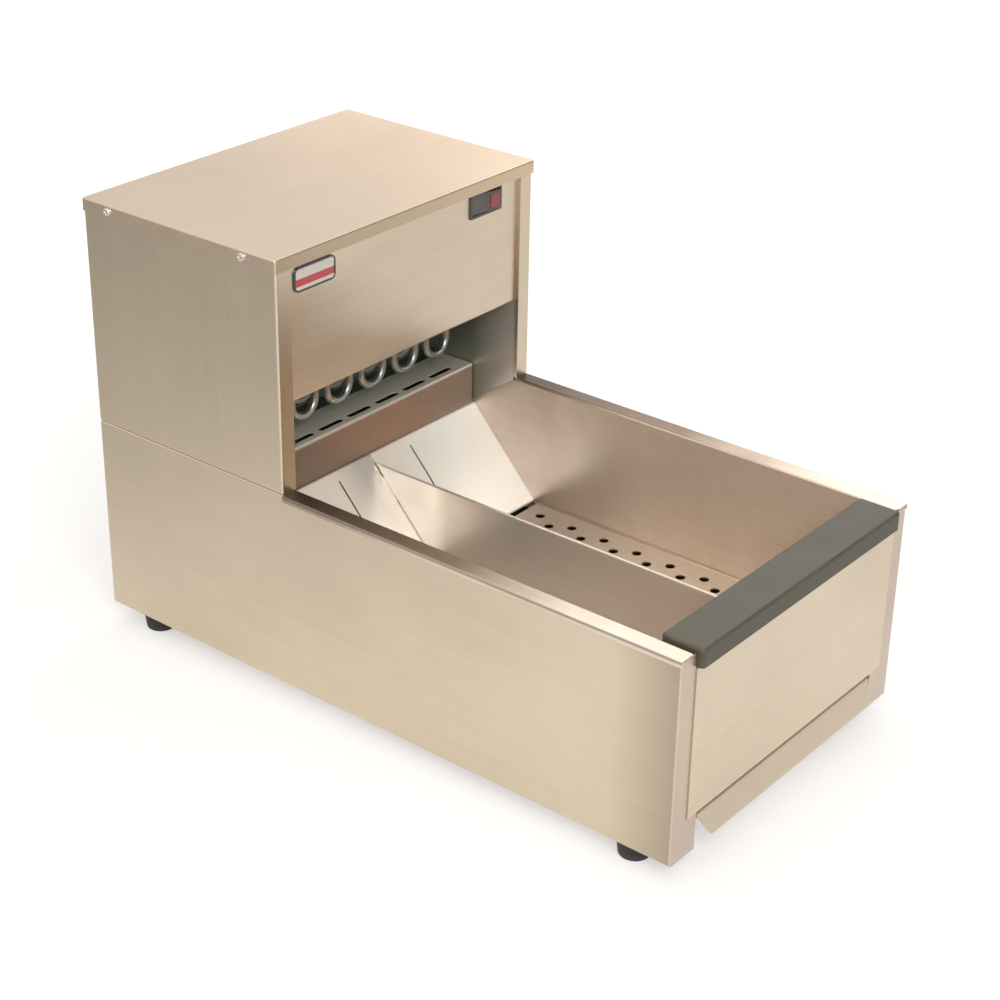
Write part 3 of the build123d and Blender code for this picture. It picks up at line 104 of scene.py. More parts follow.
def raise_by(nodes, links, height, distance, strength=1.0):
    """A bump of that height in metres."""
    bump = nodes.new("ShaderNodeBump")
    bump.inputs["Strength"].default_value = strength
    bump.inputs["Distance"].default_value = distance
    links.new(height, bump.inputs["Height"])
    return bump.outputs["Normal"]


def part_of(nodes, links, kind, axis):
    """One axis of where a point is (Object), or of the way its face looks (Normal)."""
    split = nodes.new("ShaderNodeSeparateXYZ")
    if kind == "Normal":
        source = nodes.new("ShaderNodeNewGeometry").outputs["Normal"]
    else:
        source = nodes.new("ShaderNodeTexCoord").outputs["Object"]
    links.new(source, split.inputs["Vector"])
    return split.outputs[axis]


def times(nodes, links, first, second):
    product = nodes.new("ShaderNodeMath")
    product.operation = "MULTIPLY"
    links.new(first, product.inputs[0])
    links.new(second, product.inputs[1])
    return product.outputs["Value"]


def scaled_colour(nodes, links, factor, colour, scale):
    """The colour where the factor is 0, and the colour times the scale where it is 1."""
    tint = nodes.new("ShaderNodeMix")
    tint.data_type = "RGBA"
    tint.blend_type = "MULTIPLY"
    links.new(factor, tint.inputs["Factor"])
    links.new(colour, tint.inputs["A"])
    tint.inputs["B"].default_value = (*scale, 1.0)
    return tint.outputs["Result"]


def tinted(colour, amount):
    return tuple(channel * amount for channel in colour)


def brushed_sheet(name, colour, along, gloss=0.32, cloudiness=0.10, painted_light=()):
    """Brushed stainless: fine lines along one axis, cloudy wiping marks, and a faint wave.

    Each place of painted light and shade is a function giving how much a point has, and its colour
    scale.
    """
    material, nodes, links = shade(name)
    surface = nodes["Principled BSDF"]
    surface.inputs["Metallic"].default_value = 1.0
    stretch = [1.0, 1.0, 1.0]
    stretch["XYZ".index(along)] = GRAIN_STRETCH
    lines = cloud(nodes, links, GRAIN_PER_METRE, 2.0, stretch, 0.6)
    wiped = cloud(nodes, links, 7.0, 4.0)
    smears = cloud(nodes, links, 22.0, 5.0, [1.0 if s == 1.0 else 0.35 for s in stretch], 0.6)
    worn = spread(nodes, links, wiped, 0.0, 1.0)
    tone = blend_colours(nodes, links, worn, tinted(colour, 1.0 - cloudiness), colour)
    fine = spread(nodes, links, lines, 0.0, 0.4)
    tone = blend_colours(nodes, links, fine, tone, tinted(colour, 1.06))
    for place, scale in painted_light:
        tone = scaled_colour(nodes, links, place(nodes, links), tone, scale)
    links.new(tone, surface.inputs["Base Color"])
    rough = spread(nodes, links, smears, gloss - 0.03, gloss + 0.07)
    links.new(rough, surface.inputs["Roughness"])
    wave = raise_by(nodes, links, cloud(nodes, links, 3.2, 0.0), 0.007, 0.3)
    links.new(wave, surface.inputs["Normal"])
    return material


def finish_nodes(material, *names):
    """The material on every face of those nodes."""
    for name in names:
        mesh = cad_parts[name].data
        mesh.materials.clear()
        mesh.materials.append(material)
        for face in mesh.polygons:
            face.material_index = 0


def near_front(nodes, links):
    """Painted shade on the front end of the side, but not on its folded-in front strip."""
    where = part_of(nodes, links, "Object", "Y")
    close = spread(nodes, links, where, 0.0, 1.0, FRONT_SHADE_FROM, FRONT_SHADE_TO)
    sideways = spread(nodes, links, part_of(nodes, links, "Normal", "Y"), 0.0, 1.0, -0.6, -0.2)
    return times(nodes, links, close, sideways)


def front_strip(nodes, links):
    # painted shade on the folded-in front strip, which faces forwards
    return spread(nodes, links, part_of(nodes, links, "Normal", "Y"), 0.0, 1.0, -0.6, -0.9)


finish_nodes(brushed_sheet("body_steel_along", STAINLESS, "Y",
                           painted_light=((near_front, FRONT_END_SHADE), (front_strip, STRIP_SHADE))),
             "base_side_left", "base_side_right")


# ---- Base front and back panels ----
# The same stainless sheet with the grain running across. The front one is folded back at the top
# to carry the bar, and hemmed at the bottom above the tray. The back one is screwed on flat.
body_grain_x = brushed_sheet("body_steel_across", STAINLESS, "X")
finish_nodes(body_grain_x, "base_front_panel", "base_back_panel")


# ---- Floor pan and tray runners ----
# Zinc-coated sheet lying on the bottom flanges, and extruded aluminium runners fixed on it. They
# keep the dull spangle of the mill, since nobody sees or polishes them.
ZINC = (0.46, 0.47, 0.44)


def mill_metal(name, colour, gloss, patch_scale):
    """Unpolished metal with crystal patches."""
    material, nodes, links = shade(name)
    surface = nodes["Principled BSDF"]
    surface.inputs["Metallic"].default_value = 1.0
    where = nodes.new("ShaderNodeTexCoord")
    patches = nodes.new("ShaderNodeTexVoronoi")
    patches.inputs["Scale"].default_value = patch_scale
    links.new(where.outputs["Object"], patches.inputs["Vector"])
    split = nodes.new("ShaderNodeSeparateColor")
    links.new(patches.outputs["Color"], split.inputs["Color"])
    patch = split.outputs["Red"]
    tone = blend_colours(nodes, links, patch, tinted(colour, 0.82), tinted(colour, 1.1))
    links.new(tone, surface.inputs["Base Color"])
    links.new(spread(nodes, links, patch, gloss - 0.06, gloss + 0.08, 0.0, 1.0),
              surface.inputs["Roughness"])
    return material


finish_nodes(mill_metal("zinc_sheet", ZINC, 0.45, 90.0), "bottom_pan", "duct_back_wall",
             "deck")
# painted shade: a darker copy of the zinc on the baffle and fan plate, deep in the opening
finish_nodes(mill_metal("zinc_in_painted_shade", (0.22, 0.26, 0.24), 0.4, 90.0), "front_baffle",
             "fan_plate")
finish_nodes(mill_metal("runner_aluminium", (0.60, 0.60, 0.60), 0.38, 240.0),
             "tray_runner_left", "tray_runner_right")


# ---- Feet ----
# Moulded rubber, tapered, each held by one screw from inside the base. Matt black with a faint
# mould texture, and dusty low down where they meet the counter.
RUBBER = (0.018, 0.018, 0.017)
FOOT_DUST = (0.05, 0.047, 0.042)
DUST_HEIGHT = 0.008


def moulded(name, colour, gloss, pebble=0.00003, pebble_scale=1400.0, dust=None):
    """Moulded plastic or rubber with a fine mould texture, dusty towards its foot if asked."""
    material, nodes, links = shade(name)
    surface = nodes["Principled BSDF"]
    grain = cloud(nodes, links, pebble_scale, 2.0)
    worn = spread(nodes, links, cloud(nodes, links, 35.0, 4.0), 0.0, 1.0)
    tone = blend_colours(nodes, links, worn, tinted(colour, 0.85), tinted(colour, 1.2))
    if dust is not None:
        rise = part_of(nodes, links, "Object", "Z")
        low = spread(nodes, links, rise, 1.0, 0.0, 0.0, DUST_HEIGHT)
        tone = blend_colours(nodes, links, low, tone, dust)
    links.new(tone, surface.inputs["Base Color"])
    links.new(spread(nodes, links, worn, gloss - 0.06, gloss + 0.06, 0.0, 1.0),
              surface.inputs["Roughness"])
    links.new(raise_by(nodes, links, grain, pebble, 0.5), surface.inputs["Normal"])
    return material


finish_nodes(moulded("foot_rubber", RUBBER, 0.6, dust=FOOT_DUST), "foot_front_left",
             "foot_front_right", "foot_rear_left", "foot_rear_right")


# ---- Crumb tray ----
# Thin stainless tray on the runners, its front folded forwards and down into the lip that it is
# pulled by. The grain runs across.
finish_nodes(brushed_sheet("tray_steel", tinted(STAINLESS, 1.10), "X", 0.36), "crumb_tray")


# ---- Bin walls and floor ----
# Stainless sheet with a thin film of oil and salt, so it reads browner and softer than outside.
# The side walls are folded out over the side panels as the rim. The floor lifts out.
BIN_STEEL = (0.76, 0.66, 0.56)
OIL_BROWN = (0.60, 0.43, 0.32)
RIM_DARK_REFLECTION = (0.35, 0.295, 0.25)  # painted dark reflection: the scale of the rim's colour back from its front third
RIM_HEAD_REFLECTION = (0.48, 0.48, 0.48)  # painted dark reflection: and the scale again next to the head
WALL_SHADED = (0.52, 0.48, 0.46)
# painted shade on the outside of the rim's fold
FOLD_SHADE = (0.55, 0.52, 0.48)


def oily_sheet(name, colour, stain, along, gloss=0.38, stained=0.5, metal=0.7, painted_light=()):
    """Brushed stainless under a patchy brown film, which dulls its metal."""
    material, nodes, links = shade(name)
    surface = nodes["Principled BSDF"]
    surface.inputs["Metallic"].default_value = metal
    stretch = [1.0, 1.0, 1.0]
    stretch["XYZ".index(along)] = GRAIN_STRETCH
    lines = cloud(nodes, links, GRAIN_PER_METRE, 2.0, stretch, 0.6)
    film = cloud(nodes, links, 9.0, 5.0, roughness=0.6)
    patches = spread(nodes, links, film, 0.0, stained, 0.35, 0.7)
    tone = blend_colours(nodes, links, patches, colour, stain)
    fine = spread(nodes, links, lines, 0.0, 0.4)
    tone = blend_colours(nodes, links, fine, tone, tinted(colour, 1.06))
    for place, scale in painted_light:
        tone = scaled_colour(nodes, links, place(nodes, links), tone, scale)
    links.new(tone, surface.inputs["Base Color"])
    links.new(spread(nodes, links, film, gloss - 0.06, gloss + 0.12), surface.inputs["Roughness"])
    return material


def on_rim(nodes, links):
    """The folded-out rim's top, from its front third back, where a dark reflection is painted."""
    up = spread(nodes, links, part_of(nodes, links, "Normal", "Z"), 0.0, 1.0, 0.5, 0.9)
    back = spread(nodes, links, part_of(nodes, links, "Object", "Y"), 0.0, 1.0, -0.23, -0.10)
    return times(nodes, links, up, back)


def on_rim_by_head(nodes, links):
    # painted dark reflection on the rim's top next to the head
    up = spread(nodes, links, part_of(nodes, links, "Normal", "Z"), 0.0, 1.0, 0.5, 0.9)
    back = spread(nodes, links, part_of(nodes, links, "Object", "Y"), 0.0, 1.0, -0.08, 0.09)
    return times(nodes, links, up, back)


def wall_by_chute(nodes, links):
    upright = spread(nodes, links, part_of(nodes, links, "Normal", "Z"), 1.0, 0.0, 0.5, 0.9)
    back = spread(nodes, links, part_of(nodes, links, "Object", "Y"), 0.0, 1.0, -0.06, 0.06)
    return times(nodes, links, upright, back)


def rim_fold(nodes, links):
    """Painted shade along the outside of the fold where the rim turns down over the side panel."""
    size = nodes.new("ShaderNodeMath")
    size.operation = "ABSOLUTE"
    links.new(part_of(nodes, links, "Object", "X"), size.inputs[0])
    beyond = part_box("base_side_right")[1].x
    outside = spread(nodes, links, size.outputs["Value"], 0.0, 1.0, beyond, beyond + 0.0005)
    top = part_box("bin_wall_right")[1].z
    high = spread(nodes, links, part_of(nodes, links, "Object", "Z"), 0.0, 1.0, top - 0.0035,
                  top - 0.0022)
    upright = spread(nodes, links, part_of(nodes, links, "Normal", "Z"), 1.0, 0.0, 0.5, 0.9)
    return times(nodes, links, times(nodes, links, outside, high), upright)


# painted shade on the bin walls: the rim's top, the walls by the chute, and the rim's fold
wall_painted_shade = ((on_rim, RIM_DARK_REFLECTION), (on_rim_by_head, RIM_HEAD_REFLECTION), (wall_by_chute, WALL_SHADED),
             (rim_fold, FOLD_SHADE))
finish_nodes(oily_sheet("bin_steel", BIN_STEEL, OIL_BROWN, "Y", painted_light=wall_painted_shade),
             "bin_wall_left", "bin_wall_right")
finish_nodes(oily_sheet("bin_floor_steel", BIN_STEEL, OIL_BROWN, "Y"), "bin_floor")
finish_nodes(oily_sheet("bin_front_steel", BIN_STEEL, OIL_BROWN, "X"), "bin_wall_front",
             "divider_clips")


# ---- Chute, and the wall and shelf behind it ----
# Stainless sheet folded down into the bin, with the grain running down the slope. The wall behind
# it stands in the warm air, which has coloured it brown. Its top is the slotted shelf.
CHUTE_STEEL = (0.95, 0.86, 0.75)
CHUTE_RIGHT_LIGHT = (1.12, 1.28, 1.38)     # painted light: the scale of its colour on the right
CHUTE_CORNER_SHADE = (0.66, 0.68, 0.70)    # painted shade: and the scale in the corner left of the divider
HEAT_BROWN = (0.38, 0.30, 0.235)
HEAT_RED = (0.44, 0.25, 0.17)
WALL_LEFT_SHADE = (0.60, 0.68, 0.76)       # painted shade: the scale of the wall's colours at its left end
WALL_RIGHT_LIGHT = (1.27, 1.40, 1.48)      # painted light: and at its right end
SHELF_GREY = (0.96, 0.92, 0.78)
SHELF_BACK_SHADE = (0.86, 0.90, 0.90)      # painted shade: the scale of its colour behind the slots
SHELF_FADE = (0.012, 0.024)          # how far behind the wall that starts and is full
FOLD_BLEND = 0.004           # height over which the wall's brown ends at the fold


def heated_sheet():
    """Brown and reddish heat tints on the wall, and plain grey steel on the shelf above it."""
    material, nodes, links = shade("heated_steel")
    surface = nodes["Principled BSDF"]
    surface.inputs["Metallic"].default_value = 0.6
    patches = spread(nodes, links, cloud(nodes, links, 11.0, 5.0, roughness=0.6), 0.0, 1.0)
    tone = blend_colours(nodes, links, patches, HEAT_BROWN, HEAT_RED)
    # painted shade at the wall's left end and painted light at its right end
    across = part_of(nodes, links, "Object", "X")
    left = spread(nodes, links, across, 0.0, 1.0, 0.04, -0.15)
    right = spread(nodes, links, across, 0.0, 1.0, 0.0, 0.15)
    tone = scaled_colour(nodes, links, left, tone, WALL_LEFT_SHADE)
    tone = scaled_colour(nodes, links, right, tone, WALL_RIGHT_LIGHT)
    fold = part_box("duct_wall")[1].z
    rise = part_of(nodes, links, "Object", "Z")
    on_shelf = spread(nodes, links, rise, 0.0, 1.0, fold - FOLD_BLEND, fold)
    tone = blend_colours(nodes, links, on_shelf, tone, SHELF_GREY)
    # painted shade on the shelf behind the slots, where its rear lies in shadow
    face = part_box("duct_wall")[0].y
    behind = spread(nodes, links, part_of(nodes, links, "Object", "Y"), 0.0, 1.0,
                    face + SHELF_FADE[0], face + SHELF_FADE[1])
    tone = scaled_colour(nodes, links, behind, tone, SHELF_BACK_SHADE)
    links.new(tone, surface.inputs["Base Color"])
    links.new(spread(nodes, links, patches, 0.34, 0.5, 0.0, 1.0), surface.inputs["Roughness"])
    return material


def chute_right(nodes, links):
    return spread(nodes, links, part_of(nodes, links, "Object", "X"), 0.0, 1.0, 0.01, 0.10)


def chute_corner(nodes, links):
    """Painted shade left of the divider only, growing towards it."""
    across = part_of(nodes, links, "Object", "X")
    near = spread(nodes, links, across, 0.0, 1.0, -0.06, -0.02)
    left = spread(nodes, links, across, 1.0, 0.0, -0.001, 0.001)
    return times(nodes, links, near, left)


# painted light on the right of the chute, and painted shade in its corner left of the divider
chute_painted_light = ((chute_right, CHUTE_RIGHT_LIGHT), (chute_corner, CHUTE_CORNER_SHADE))
finish_nodes(oily_sheet("chute_steel", CHUTE_STEEL, tinted(BIN_STEEL, 1.2), "Y", 0.36, 0.25,
                        0.45, chute_painted_light), "chute")
finish_nodes(heated_sheet(), "duct_wall")


# ---- Divider ----
# Stainless plate with its top edge hemmed thick, stood on the bin floor in a clip at the front,
# with a tab through the chute at the back. It lifts out to be washed.
DIVIDER_STEEL = (0.70, 0.64, 0.57)
DIVIDER_HIGHLIGHT = (1.30, 1.36, 1.42)   # painted highlight: the scale of its colour at the back, by the chute


def by_chute(nodes, links):
    return spread(nodes, links, part_of(nodes, links, "Object", "Y"), 0.0, 1.0, 0.058, 0.075)


finish_nodes(oily_sheet("divider_steel", DIVIDER_STEEL, OIL_BROWN, "Y", 0.36, 0.35,
                        painted_light=((by_chute, DIVIDER_HIGHLIGHT),)), "divider")


# ---- Front bar ----
# Black food-grade polymer board with milled, rounded edges, screwed on from below. Matt, slightly
# greenish where the light catches it, with faint knife and pan marks.
BAR_BLACK = (0.076, 0.067, 0.044)
finish_nodes(moulded("bar_polymer", BAR_BLACK, 0.5, 0.00004, 900.0), "front_bar")


# ---- Inner cheeks of the head ----
# Stainless sheet on each side of the air space, standing on the bin walls, under a patchy film.
# Painted shade darkens them deep in the opening, to an olive tone.
CHEEK_STEEL = (0.62, 0.58, 0.54)
# painted shade: the scale of the cheeks' colour deep in the opening
CHEEK_DEEP_SHADE = (0.45, 0.49, 0.45)


def deep_in(nodes, links):
    # painted shade deep in the opening
    where = part_of(nodes, links, "Object", "Y")
    return spread(nodes, links, where, 0.0, 1.0, 0.115, 0.165)


finish_nodes(oily_sheet("cheek_steel", CHEEK_STEEL, tinted(CHEEK_STEEL, 0.7), "Y", 0.4,
                        painted_light=((deep_in, CHEEK_DEEP_SHADE),)), "head_cheek_left", "head_cheek_right")


# ---- Head: sides, front and back ----
# The same stainless as the base, with the grain upright on the sides. The front panel sits behind
# the folded edges of the sides.
LOW_LEFT_HIGHLIGHT = (1.32, 1.44, 1.58)        # painted highlight: the front is palest low on the left, over the opening


def low_left(nodes, links):
    left = spread(nodes, links, part_of(nodes, links, "Object", "X"), 0.0, 1.0, 0.0, -0.14)
    low = spread(nodes, links, part_of(nodes, links, "Object", "Z"), 0.0, 1.0, 0.40, 0.33)
    return times(nodes, links, left, low)


finish_nodes(brushed_sheet("body_steel_upright", STAINLESS, "Z"), "head_side_left",
             "head_side_right")
finish_nodes(body_grain_x, "head_back_panel")
finish_nodes(brushed_sheet("head_front_steel", STAINLESS, "X", painted_light=((low_left, LOW_LEFT_HIGHLIGHT),)),
             "head_front_panel")


# ---- Lid ----
# A shallow stainless box turned down over the sides and held by two screws on each side. Its front
# edge has painted shade, darker than its top, and the top has a painted highlight on the right.
LID_STEEL = (0.67, 0.54, 0.415)
# painted shade on the front edge, and a painted highlight on the right of the top
LID_FRONT_SHADE = (0.81, 0.81, 0.76)
LID_RIGHT_HIGHLIGHT = (1.25, 1.21, 1.17)


def lid_front_edge(nodes, links):
    return spread(nodes, links, part_of(nodes, links, "Normal", "Y"), 0.0, 1.0, -0.5, -0.9)


def lid_right(nodes, links):
    return spread(nodes, links, part_of(nodes, links, "Object", "X"), 0.0, 1.0, -0.05, 0.18)


finish_nodes(brushed_sheet("lid_steel", LID_STEEL, "X", 0.36,
                           painted_light=((lid_front_edge, LID_FRONT_SHADE), (lid_right, LID_RIGHT_HIGHLIGHT))), "lid")


# ---- Heating elements ----
# Sheathed tubes bent up and down in loops, hung from the deck in ceramic bushes. The sheath is
# greyed by heat, browner in patches.
SHEATH = (0.52, 0.53, 0.50)
finish_nodes(oily_sheet("heater_sheath", SHEATH, (0.30, 0.24, 0.19), "Z", 0.28, 0.35, 0.9),
             "heater_front", "heater_rear")
finish_nodes(moulded("ceramic", (0.74, 0.70, 0.62), 0.3), "heater_bushes")


# ---- Insulation ----
# Mineral wool blankets between the inner cheeks and the outer sides, cut a little full and pressed
# on pins, so they are soft at the edges and dimpled where a pin holds them.
WOOL = (0.60, 0.55, 0.42)
WOOL_CELLS = (44, 32)        # cells of the blanket's faces, front to back and upright
WOOL_EDGE = 0.45             # thickness at its edges, as a share of the thickness inside
PIN_ROWS = (0.25, 0.75)      # where the pins are, as shares of the depth and of the height
DIMPLE = 0.35                # how deep a pin pulls it in, as a share of the thickness
DIMPLE_WIDTH = 0.06
EDGE_DRAW = 0.002            # how far the edges draw in between the corners


def wool_at(along, rise):
    """Thickness of the blanket at one place of its face, as a share of the full thickness."""
    inside = (1 - (2 * along - 1) ** 8) * (1 - (2 * rise - 1) ** 8)
    pulled = 0.0
    for row in PIN_ROWS:
        for column in PIN_ROWS:
            away = (along - row) ** 2 + (rise - column) ** 2
            pulled = max(pulled, math.exp(-away / DIMPLE_WIDTH ** 2))
    return (WOOL_EDGE + (1 - WOOL_EDGE) * math.sqrt(inside)) * (1 - DIMPLE * pulled)


def wool_blanket(node):
    """A soft-edged blanket in the place of the plain block."""
    low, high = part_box(node)
    size, middle = high - low, (low + high) / 2
    across, up = WOOL_CELLS
    corners = []
    for side in (-1, 1):
        for row in range(up + 1):
            for column in range(across + 1):
                along, rise = column / across, row / up
                half = side * size.x / 2 * wool_at(along, rise)
                draw_y = EDGE_DRAW * (1 - (2 * rise - 1) ** 2) * (1 - 2 * along)
                draw_z = EDGE_DRAW * (1 - (2 * along - 1) ** 2) * (1 - 2 * rise)
                corners.append((middle.x + half, low.y + size.y * along + draw_y,
                                low.z + size.z * rise + draw_z))
    layer = (across + 1) * (up + 1)

    def spot(column, row):
        return row * (across + 1) + column

    faces = []
    for row in range(up):
        for column in range(across):
            ring = [spot(column, row), spot(column, row + 1), spot(column + 1, row + 1),
                    spot(column + 1, row)]
            faces.append(ring)
            faces.append([layer + place for place in reversed(ring)])
    edge = [spot(column, 0) for column in range(across)]
    edge += [spot(across, row) for row in range(up)]
    edge += [spot(column, up) for column in range(across, 0, -1)]
    edge += [spot(0, row) for row in range(up, 0, -1)]
    for here, there in zip(edge, edge[1:] + edge[:1]):
        faces.append([here, there, layer + there, layer + here])
    mesh = bpy.data.meshes.new(node + "_blanket")
    mesh.from_pydata(corners, [], faces)
    mesh.polygons.foreach_set("use_smooth", [True] * len(mesh.polygons))
    blanket = bpy.data.objects.new(node + "_blanket", mesh)
    bpy.context.scene.collection.objects.link(blanket)
    mesh.materials.append(wool)
    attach(blanket, "body")
    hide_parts(node)


wool = moulded("wool", WOOL, 0.9, 0.0012, 160.0)
for node in ("insulation_left", "insulation_right"):
    wool_blanket(node)


# ---- Fans ----
# Two square axial fans bolted behind the fan plate: moulded black frames and rotors, and a
# laminated stator.
finish_nodes(moulded("fan_black", (0.022, 0.022, 0.022), 0.42), "fan_frame_left",
             "fan_frame_right", "fan_rotor_left", "fan_rotor_right")
finish_nodes(mill_metal("stator_steel", (0.28, 0.27, 0.26), 0.5, 400.0), "fan_motor_left",
             "fan_motor_right")


# ---- Power switch ----
# A rocker in a bezel, black, with a red lens over the lamp in its right half.
finish_nodes(moulded("switch_black", (0.055, 0.062, 0.052), 0.3, 0.00001), "switch_body")
finish_nodes(moulded("rocker_grey", (0.10, 0.093, 0.092), 0.34, 0.00001), "switch_rocker")


def red_lens():
    """Red clear plastic over the lamp, a deeper red in patches."""
    material, nodes, links = shade("lens_red")
    surface = nodes["Principled BSDF"]
    depth = spread(nodes, links, cloud(nodes, links, 260.0, 2.0), 0.0, 1.0)
    links.new(blend_colours(nodes, links, depth, (0.22, 0.022, 0.034), (0.34, 0.04, 0.055)),
              surface.inputs["Base Color"])
    surface.inputs["Roughness"].default_value = 0.18
    surface.inputs["Coat Weight"].default_value = 0.6
    return material


finish_nodes(red_lens(), "switch_lens")


# ---- Badge plate ----
# A small enamelled plate with a dark raised border, stuck on. Its pale field bears one plain red
# band right across, low down, and no lettering.
BADGE_DARK = (0.035, 0.038, 0.036)
BADGE_PALE = (0.66, 0.61, 0.56)
BADGE_RED = (0.50, 0.045, 0.055)
BADGE_BORDER = 0.0018
BADGE_BAND = (0.22, 0.52)    # where the red band lies, as shares of the height


def badge_enamel():
    """Plain fields of enamel, laid out from the plate's own corners."""
    low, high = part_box("badge_plate")
    material, nodes, links = shade("badge_enamel")
    surface = nodes["Principled BSDF"]

    def past(axis, place, above=True):
        """1 on one side of a place along an axis and 0 on the other."""
        test = nodes.new("ShaderNodeMath")
        test.operation = "GREATER_THAN" if above else "LESS_THAN"
        test.inputs[1].default_value = place
        links.new(part_of(nodes, links, "Object", axis), test.inputs[0])
        return test.outputs["Value"]

    def between(axis, start, end):
        return times(nodes, links, past(axis, start), past(axis, end, False))

    height = high.z - low.z
    band = between("Z", low.z + BADGE_BAND[0] * height, low.z + BADGE_BAND[1] * height)
    inside = times(nodes, links, between("X", low.x + BADGE_BORDER, high.x - BADGE_BORDER),
                   between("Z", low.z + BADGE_BORDER, high.z - BADGE_BORDER))
    field = times(nodes, links, inside, past("Y", low.y + 0.0002))
    tone = blend_colours(nodes, links, band, BADGE_PALE, BADGE_RED)
    tone = blend_colours(nodes, links, field, BADGE_DARK, tone)
    links.new(tone, surface.inputs["Base Color"])
    surface.inputs["Roughness"].default_value = 0.3
    surface.inputs["Coat Weight"].default_value = 0.4
    return material


finish_nodes(badge_enamel(), "badge_plate")


# ---- Electrical parts ----
# Power inlet in the back, terminal block, two disc thermostats and the sleeved wires between
# them, all on the deck under the lid.
finish_nodes(moulded("inlet_black", (0.02, 0.02, 0.02), 0.45), "power_inlet")
finish_nodes(mill_metal("pin_brass", (0.62, 0.55, 0.38), 0.25, 500.0), "inlet_pins")
finish_nodes(moulded("block_pale", (0.66, 0.63, 0.54), 0.5), "terminal_block")
finish_nodes(mill_metal("thermostat_metal", (0.62, 0.62, 0.62), 0.3, 300.0),
             "control_thermostat", "limit_thermostat")
finish_nodes(moulded("wire_sleeve", (0.03, 0.03, 0.034), 0.7, 0.0002, 900.0), "supply_harness",
             "switch_harness")


# ---- Screws ----
# Zinc-plated pan-head screws: in the lid, the back panels, the fans, the bar and the feet.
finish_nodes(mill_metal("screw_steel", (0.78, 0.76, 0.72), 0.22, 600.0), "bar_screws",
             "lid_screws", "back_screws", "fan_screws", "foot_screws")


# ---- Where it stands ----
# A plain white counter that runs on into a white wall. It takes the warmer's soft shadow, and in
# the steel's reflections it carries painted shade towards the back left.
FLOOR_SIZE = 12.0
FLOOR_WHITE = (0.55, 0.545, 0.535)
FLOOR_GLOW = 0.50            # how much of the counter's white shows whatever falls on it
FAR_GLOW = 0.80              # the same, where the counter runs out into the white wall
SHADE_SIDE = Vector((-0.6, 0.8, 0.0))   # painted shade: in the steel's reflections the counter is darker towards the back left
SHADE_GLOW = 0.06            # its glow there, as the steel throws it back


def shown(nodes, links):
    """1 for rays that show a surface to the eye, straight, in a mirror or through glass."""
    path = nodes.new("ShaderNodeLightPath")
    either = path.outputs["Is Camera Ray"]
    for kind in ("Is Glossy Ray", "Is Transmission Ray"):
        more = nodes.new("ShaderNodeMath")
        more.operation = "MAXIMUM"
        links.new(either, more.inputs[0])
        links.new(path.outputs[kind], more.inputs[1])
        either = more.outputs["Value"]
    return either


def counter_surface():
    """White that keeps the shadow: part of it glows to the eye, and the rest is lit."""
    material, nodes, links = shade("counter_white")
    surface = nodes["Principled BSDF"]
    surface.inputs["Base Color"].default_value = (*FLOOR_WHITE, 1.0)
    surface.inputs["Roughness"].default_value = 0.9
    surface.inputs["Specular IOR Level"].default_value = 0.0
    glow = nodes.new("ShaderNodeEmission")
    glow.inputs["Color"].default_value = (1.0, 1.0, 1.0, 1.0)
    where = nodes.new("ShaderNodeTexCoord")
    away = nodes.new("ShaderNodeVectorMath")
    away.operation = "LENGTH"
    links.new(where.outputs["Object"], away.inputs[0])
    seen_glow = spread(nodes, links, away.outputs["Value"], FLOOR_GLOW, FAR_GLOW, 0.5, 1.6)
    # painted shade: the glow seen in reflections falls off towards the back left
    aside = nodes.new("ShaderNodeVectorMath")
    aside.operation = "DOT_PRODUCT"
    aside.inputs[1].default_value = SHADE_SIDE
    links.new(where.outputs["Object"], aside.inputs[0])
    thrown_glow = spread(nodes, links, aside.outputs["Value"], FLOOR_GLOW, SHADE_GLOW, 0.25, 1.1)
    path = nodes.new("ShaderNodeLightPath")
    which = nodes.new("ShaderNodeMix")
    links.new(path.outputs["Is Camera Ray"], which.inputs["Factor"])
    links.new(thrown_glow, which.inputs["A"])
    links.new(seen_glow, which.inputs["B"])
    links.new(which.outputs["Result"], glow.inputs["Strength"])
    together = nodes.new("ShaderNodeAddShader")
    choose = nodes.new("ShaderNodeMixShader")
    links.new(surface.outputs["BSDF"], together.inputs[0])
    links.new(glow.outputs["Emission"], together.inputs[1])
    links.new(shown(nodes, links), choose.inputs["Fac"])
    links.new(surface.outputs["BSDF"], choose.inputs[1])
    links.new(together.outputs["Shader"], choose.inputs[2])
    links.new(choose.outputs["Shader"], nodes["Material Output"].inputs["Surface"])
    return material


bpy.ops.mesh.primitive_plane_add(size=FLOOR_SIZE, location=(0, 0, 0))
counter = bpy.context.object
counter.name = "counter"
counter.data.materials.append(counter_surface())

WORLD_TONE = (1.0, 0.98, 0.95)
WORLD_STRENGTH = 0.5
DIM_SIDE = Vector((0.55, -0.60, 0.58))   # the studio is dimmer up on the right in front
DIM_TONE = (0.42, 0.41, 0.40)
world = bpy.data.worlds.new("studio")
bpy.context.scene.world = world
world.use_nodes = True
air, wires = world.node_tree.nodes, world.node_tree.links
lit = air["Background"]
lit.inputs["Color"].default_value = (*WORLD_TONE, 1.0)
lit.inputs["Strength"].default_value = WORLD_STRENGTH
seen = air.new("ShaderNodeBackground")
heading = air.new("ShaderNodeTexCoord")
facing = air.new("ShaderNodeVectorMath")
facing.operation = "DOT_PRODUCT"
facing.inputs[1].default_value = DIM_SIDE
wires.new(heading.outputs["Generated"], facing.inputs[0])
eye_path = air.new("ShaderNodeLightPath")
tone = blend_colours(air, wires, spread(air, wires, facing.outputs["Value"], 0.0, 1.0, 0.4, 1.0),
                     (1.0, 1.0, 1.0), DIM_TONE)
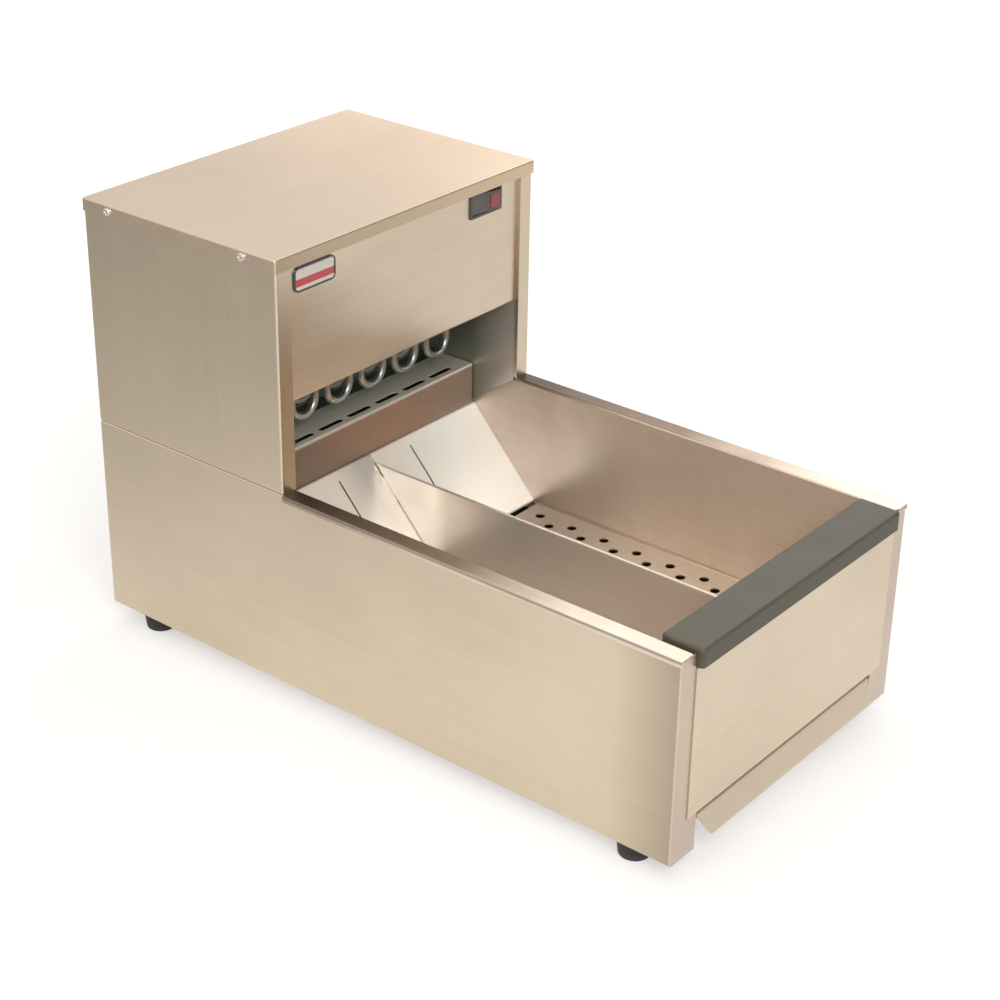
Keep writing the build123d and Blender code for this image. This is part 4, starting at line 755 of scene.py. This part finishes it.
tone = blend_colours(air, wires, eye_path.outputs["Is Camera Ray"], tone, (1.0, 1.0, 1.0))
wires.new(tone, seen.inputs["Color"])
pick = air.new("ShaderNodeMixShader")
wires.new(shown(air, wires), pick.inputs["Fac"])
wires.new(lit.outputs["Background"], pick.inputs[1])
wires.new(seen.outputs["Background"], pick.inputs[2])
wires.new(pick.outputs["Shader"], air["World Output"].inputs["Surface"])


# ---- Lamps ----
# Soft boxes: the strongest high on the left in front, which lights the right half of the bin, a
# broad one above, and a weak one on the right.
MIDDLE = Vector((0.0, 0.0, 0.2))


def soft_box(name, towards, distance, size, power, colour):
    """A square lamp that far off in a direction, facing the middle of the warmer."""
    lamp = bpy.data.lights.new(name, "AREA")
    lamp.size = size
    lamp.energy = power
    lamp.color = colour
    holder = bpy.data.objects.new(name, lamp)
    bpy.context.scene.collection.objects.link(holder)
    direction = Vector(towards).normalized()
    holder.location = MIDDLE + direction * distance
    holder.rotation_euler = direction.to_track_quat("Z", "Y").to_euler()
    return holder


soft_box("key", (-0.55, -0.62, 0.60), 2.4, 1.0, 30.0, (1.0, 0.98, 0.94))
soft_box("above", (0.05, 0.10, 1.0), 2.4, 2.2, 18.0, (1.0, 0.98, 0.95))
soft_box("right", (0.80, 0.30, 0.52), 3.0, 1.2, 8.0, (1.0, 0.97, 0.92))


# ---- Camera ----
# Left of the front and above, as the warmer was photographed, turned by one degree.
EYE = Vector((-1.4605, -1.16745, 1.1613))
LOOKED_AT = Vector((0.0464, 0.02825, 0.1592))
TURN = math.radians(1.04)
LENS = 77.98
SENSOR = 36.0

view = bpy.data.cameras.new("camera")
view.lens = LENS
view.sensor_width = SENSOR
view.clip_end = 50.0
camera = bpy.data.objects.new("camera", view)
bpy.context.scene.collection.objects.link(camera)
forward = (LOOKED_AT - EYE).normalized()
right = forward.cross(Vector((0, 0, 1))).normalized()
up = right.cross(forward)
across = right * math.cos(TURN) + up * math.sin(TURN)
upward = up * math.cos(TURN) - right * math.sin(TURN)
turned = Matrix((across, upward, -forward)).transposed().to_4x4()
camera.matrix_world = Matrix.Translation(EYE) @ turned
bpy.context.scene.camera = camera
bpy.context.scene.view_settings.view_transform = "Standard"
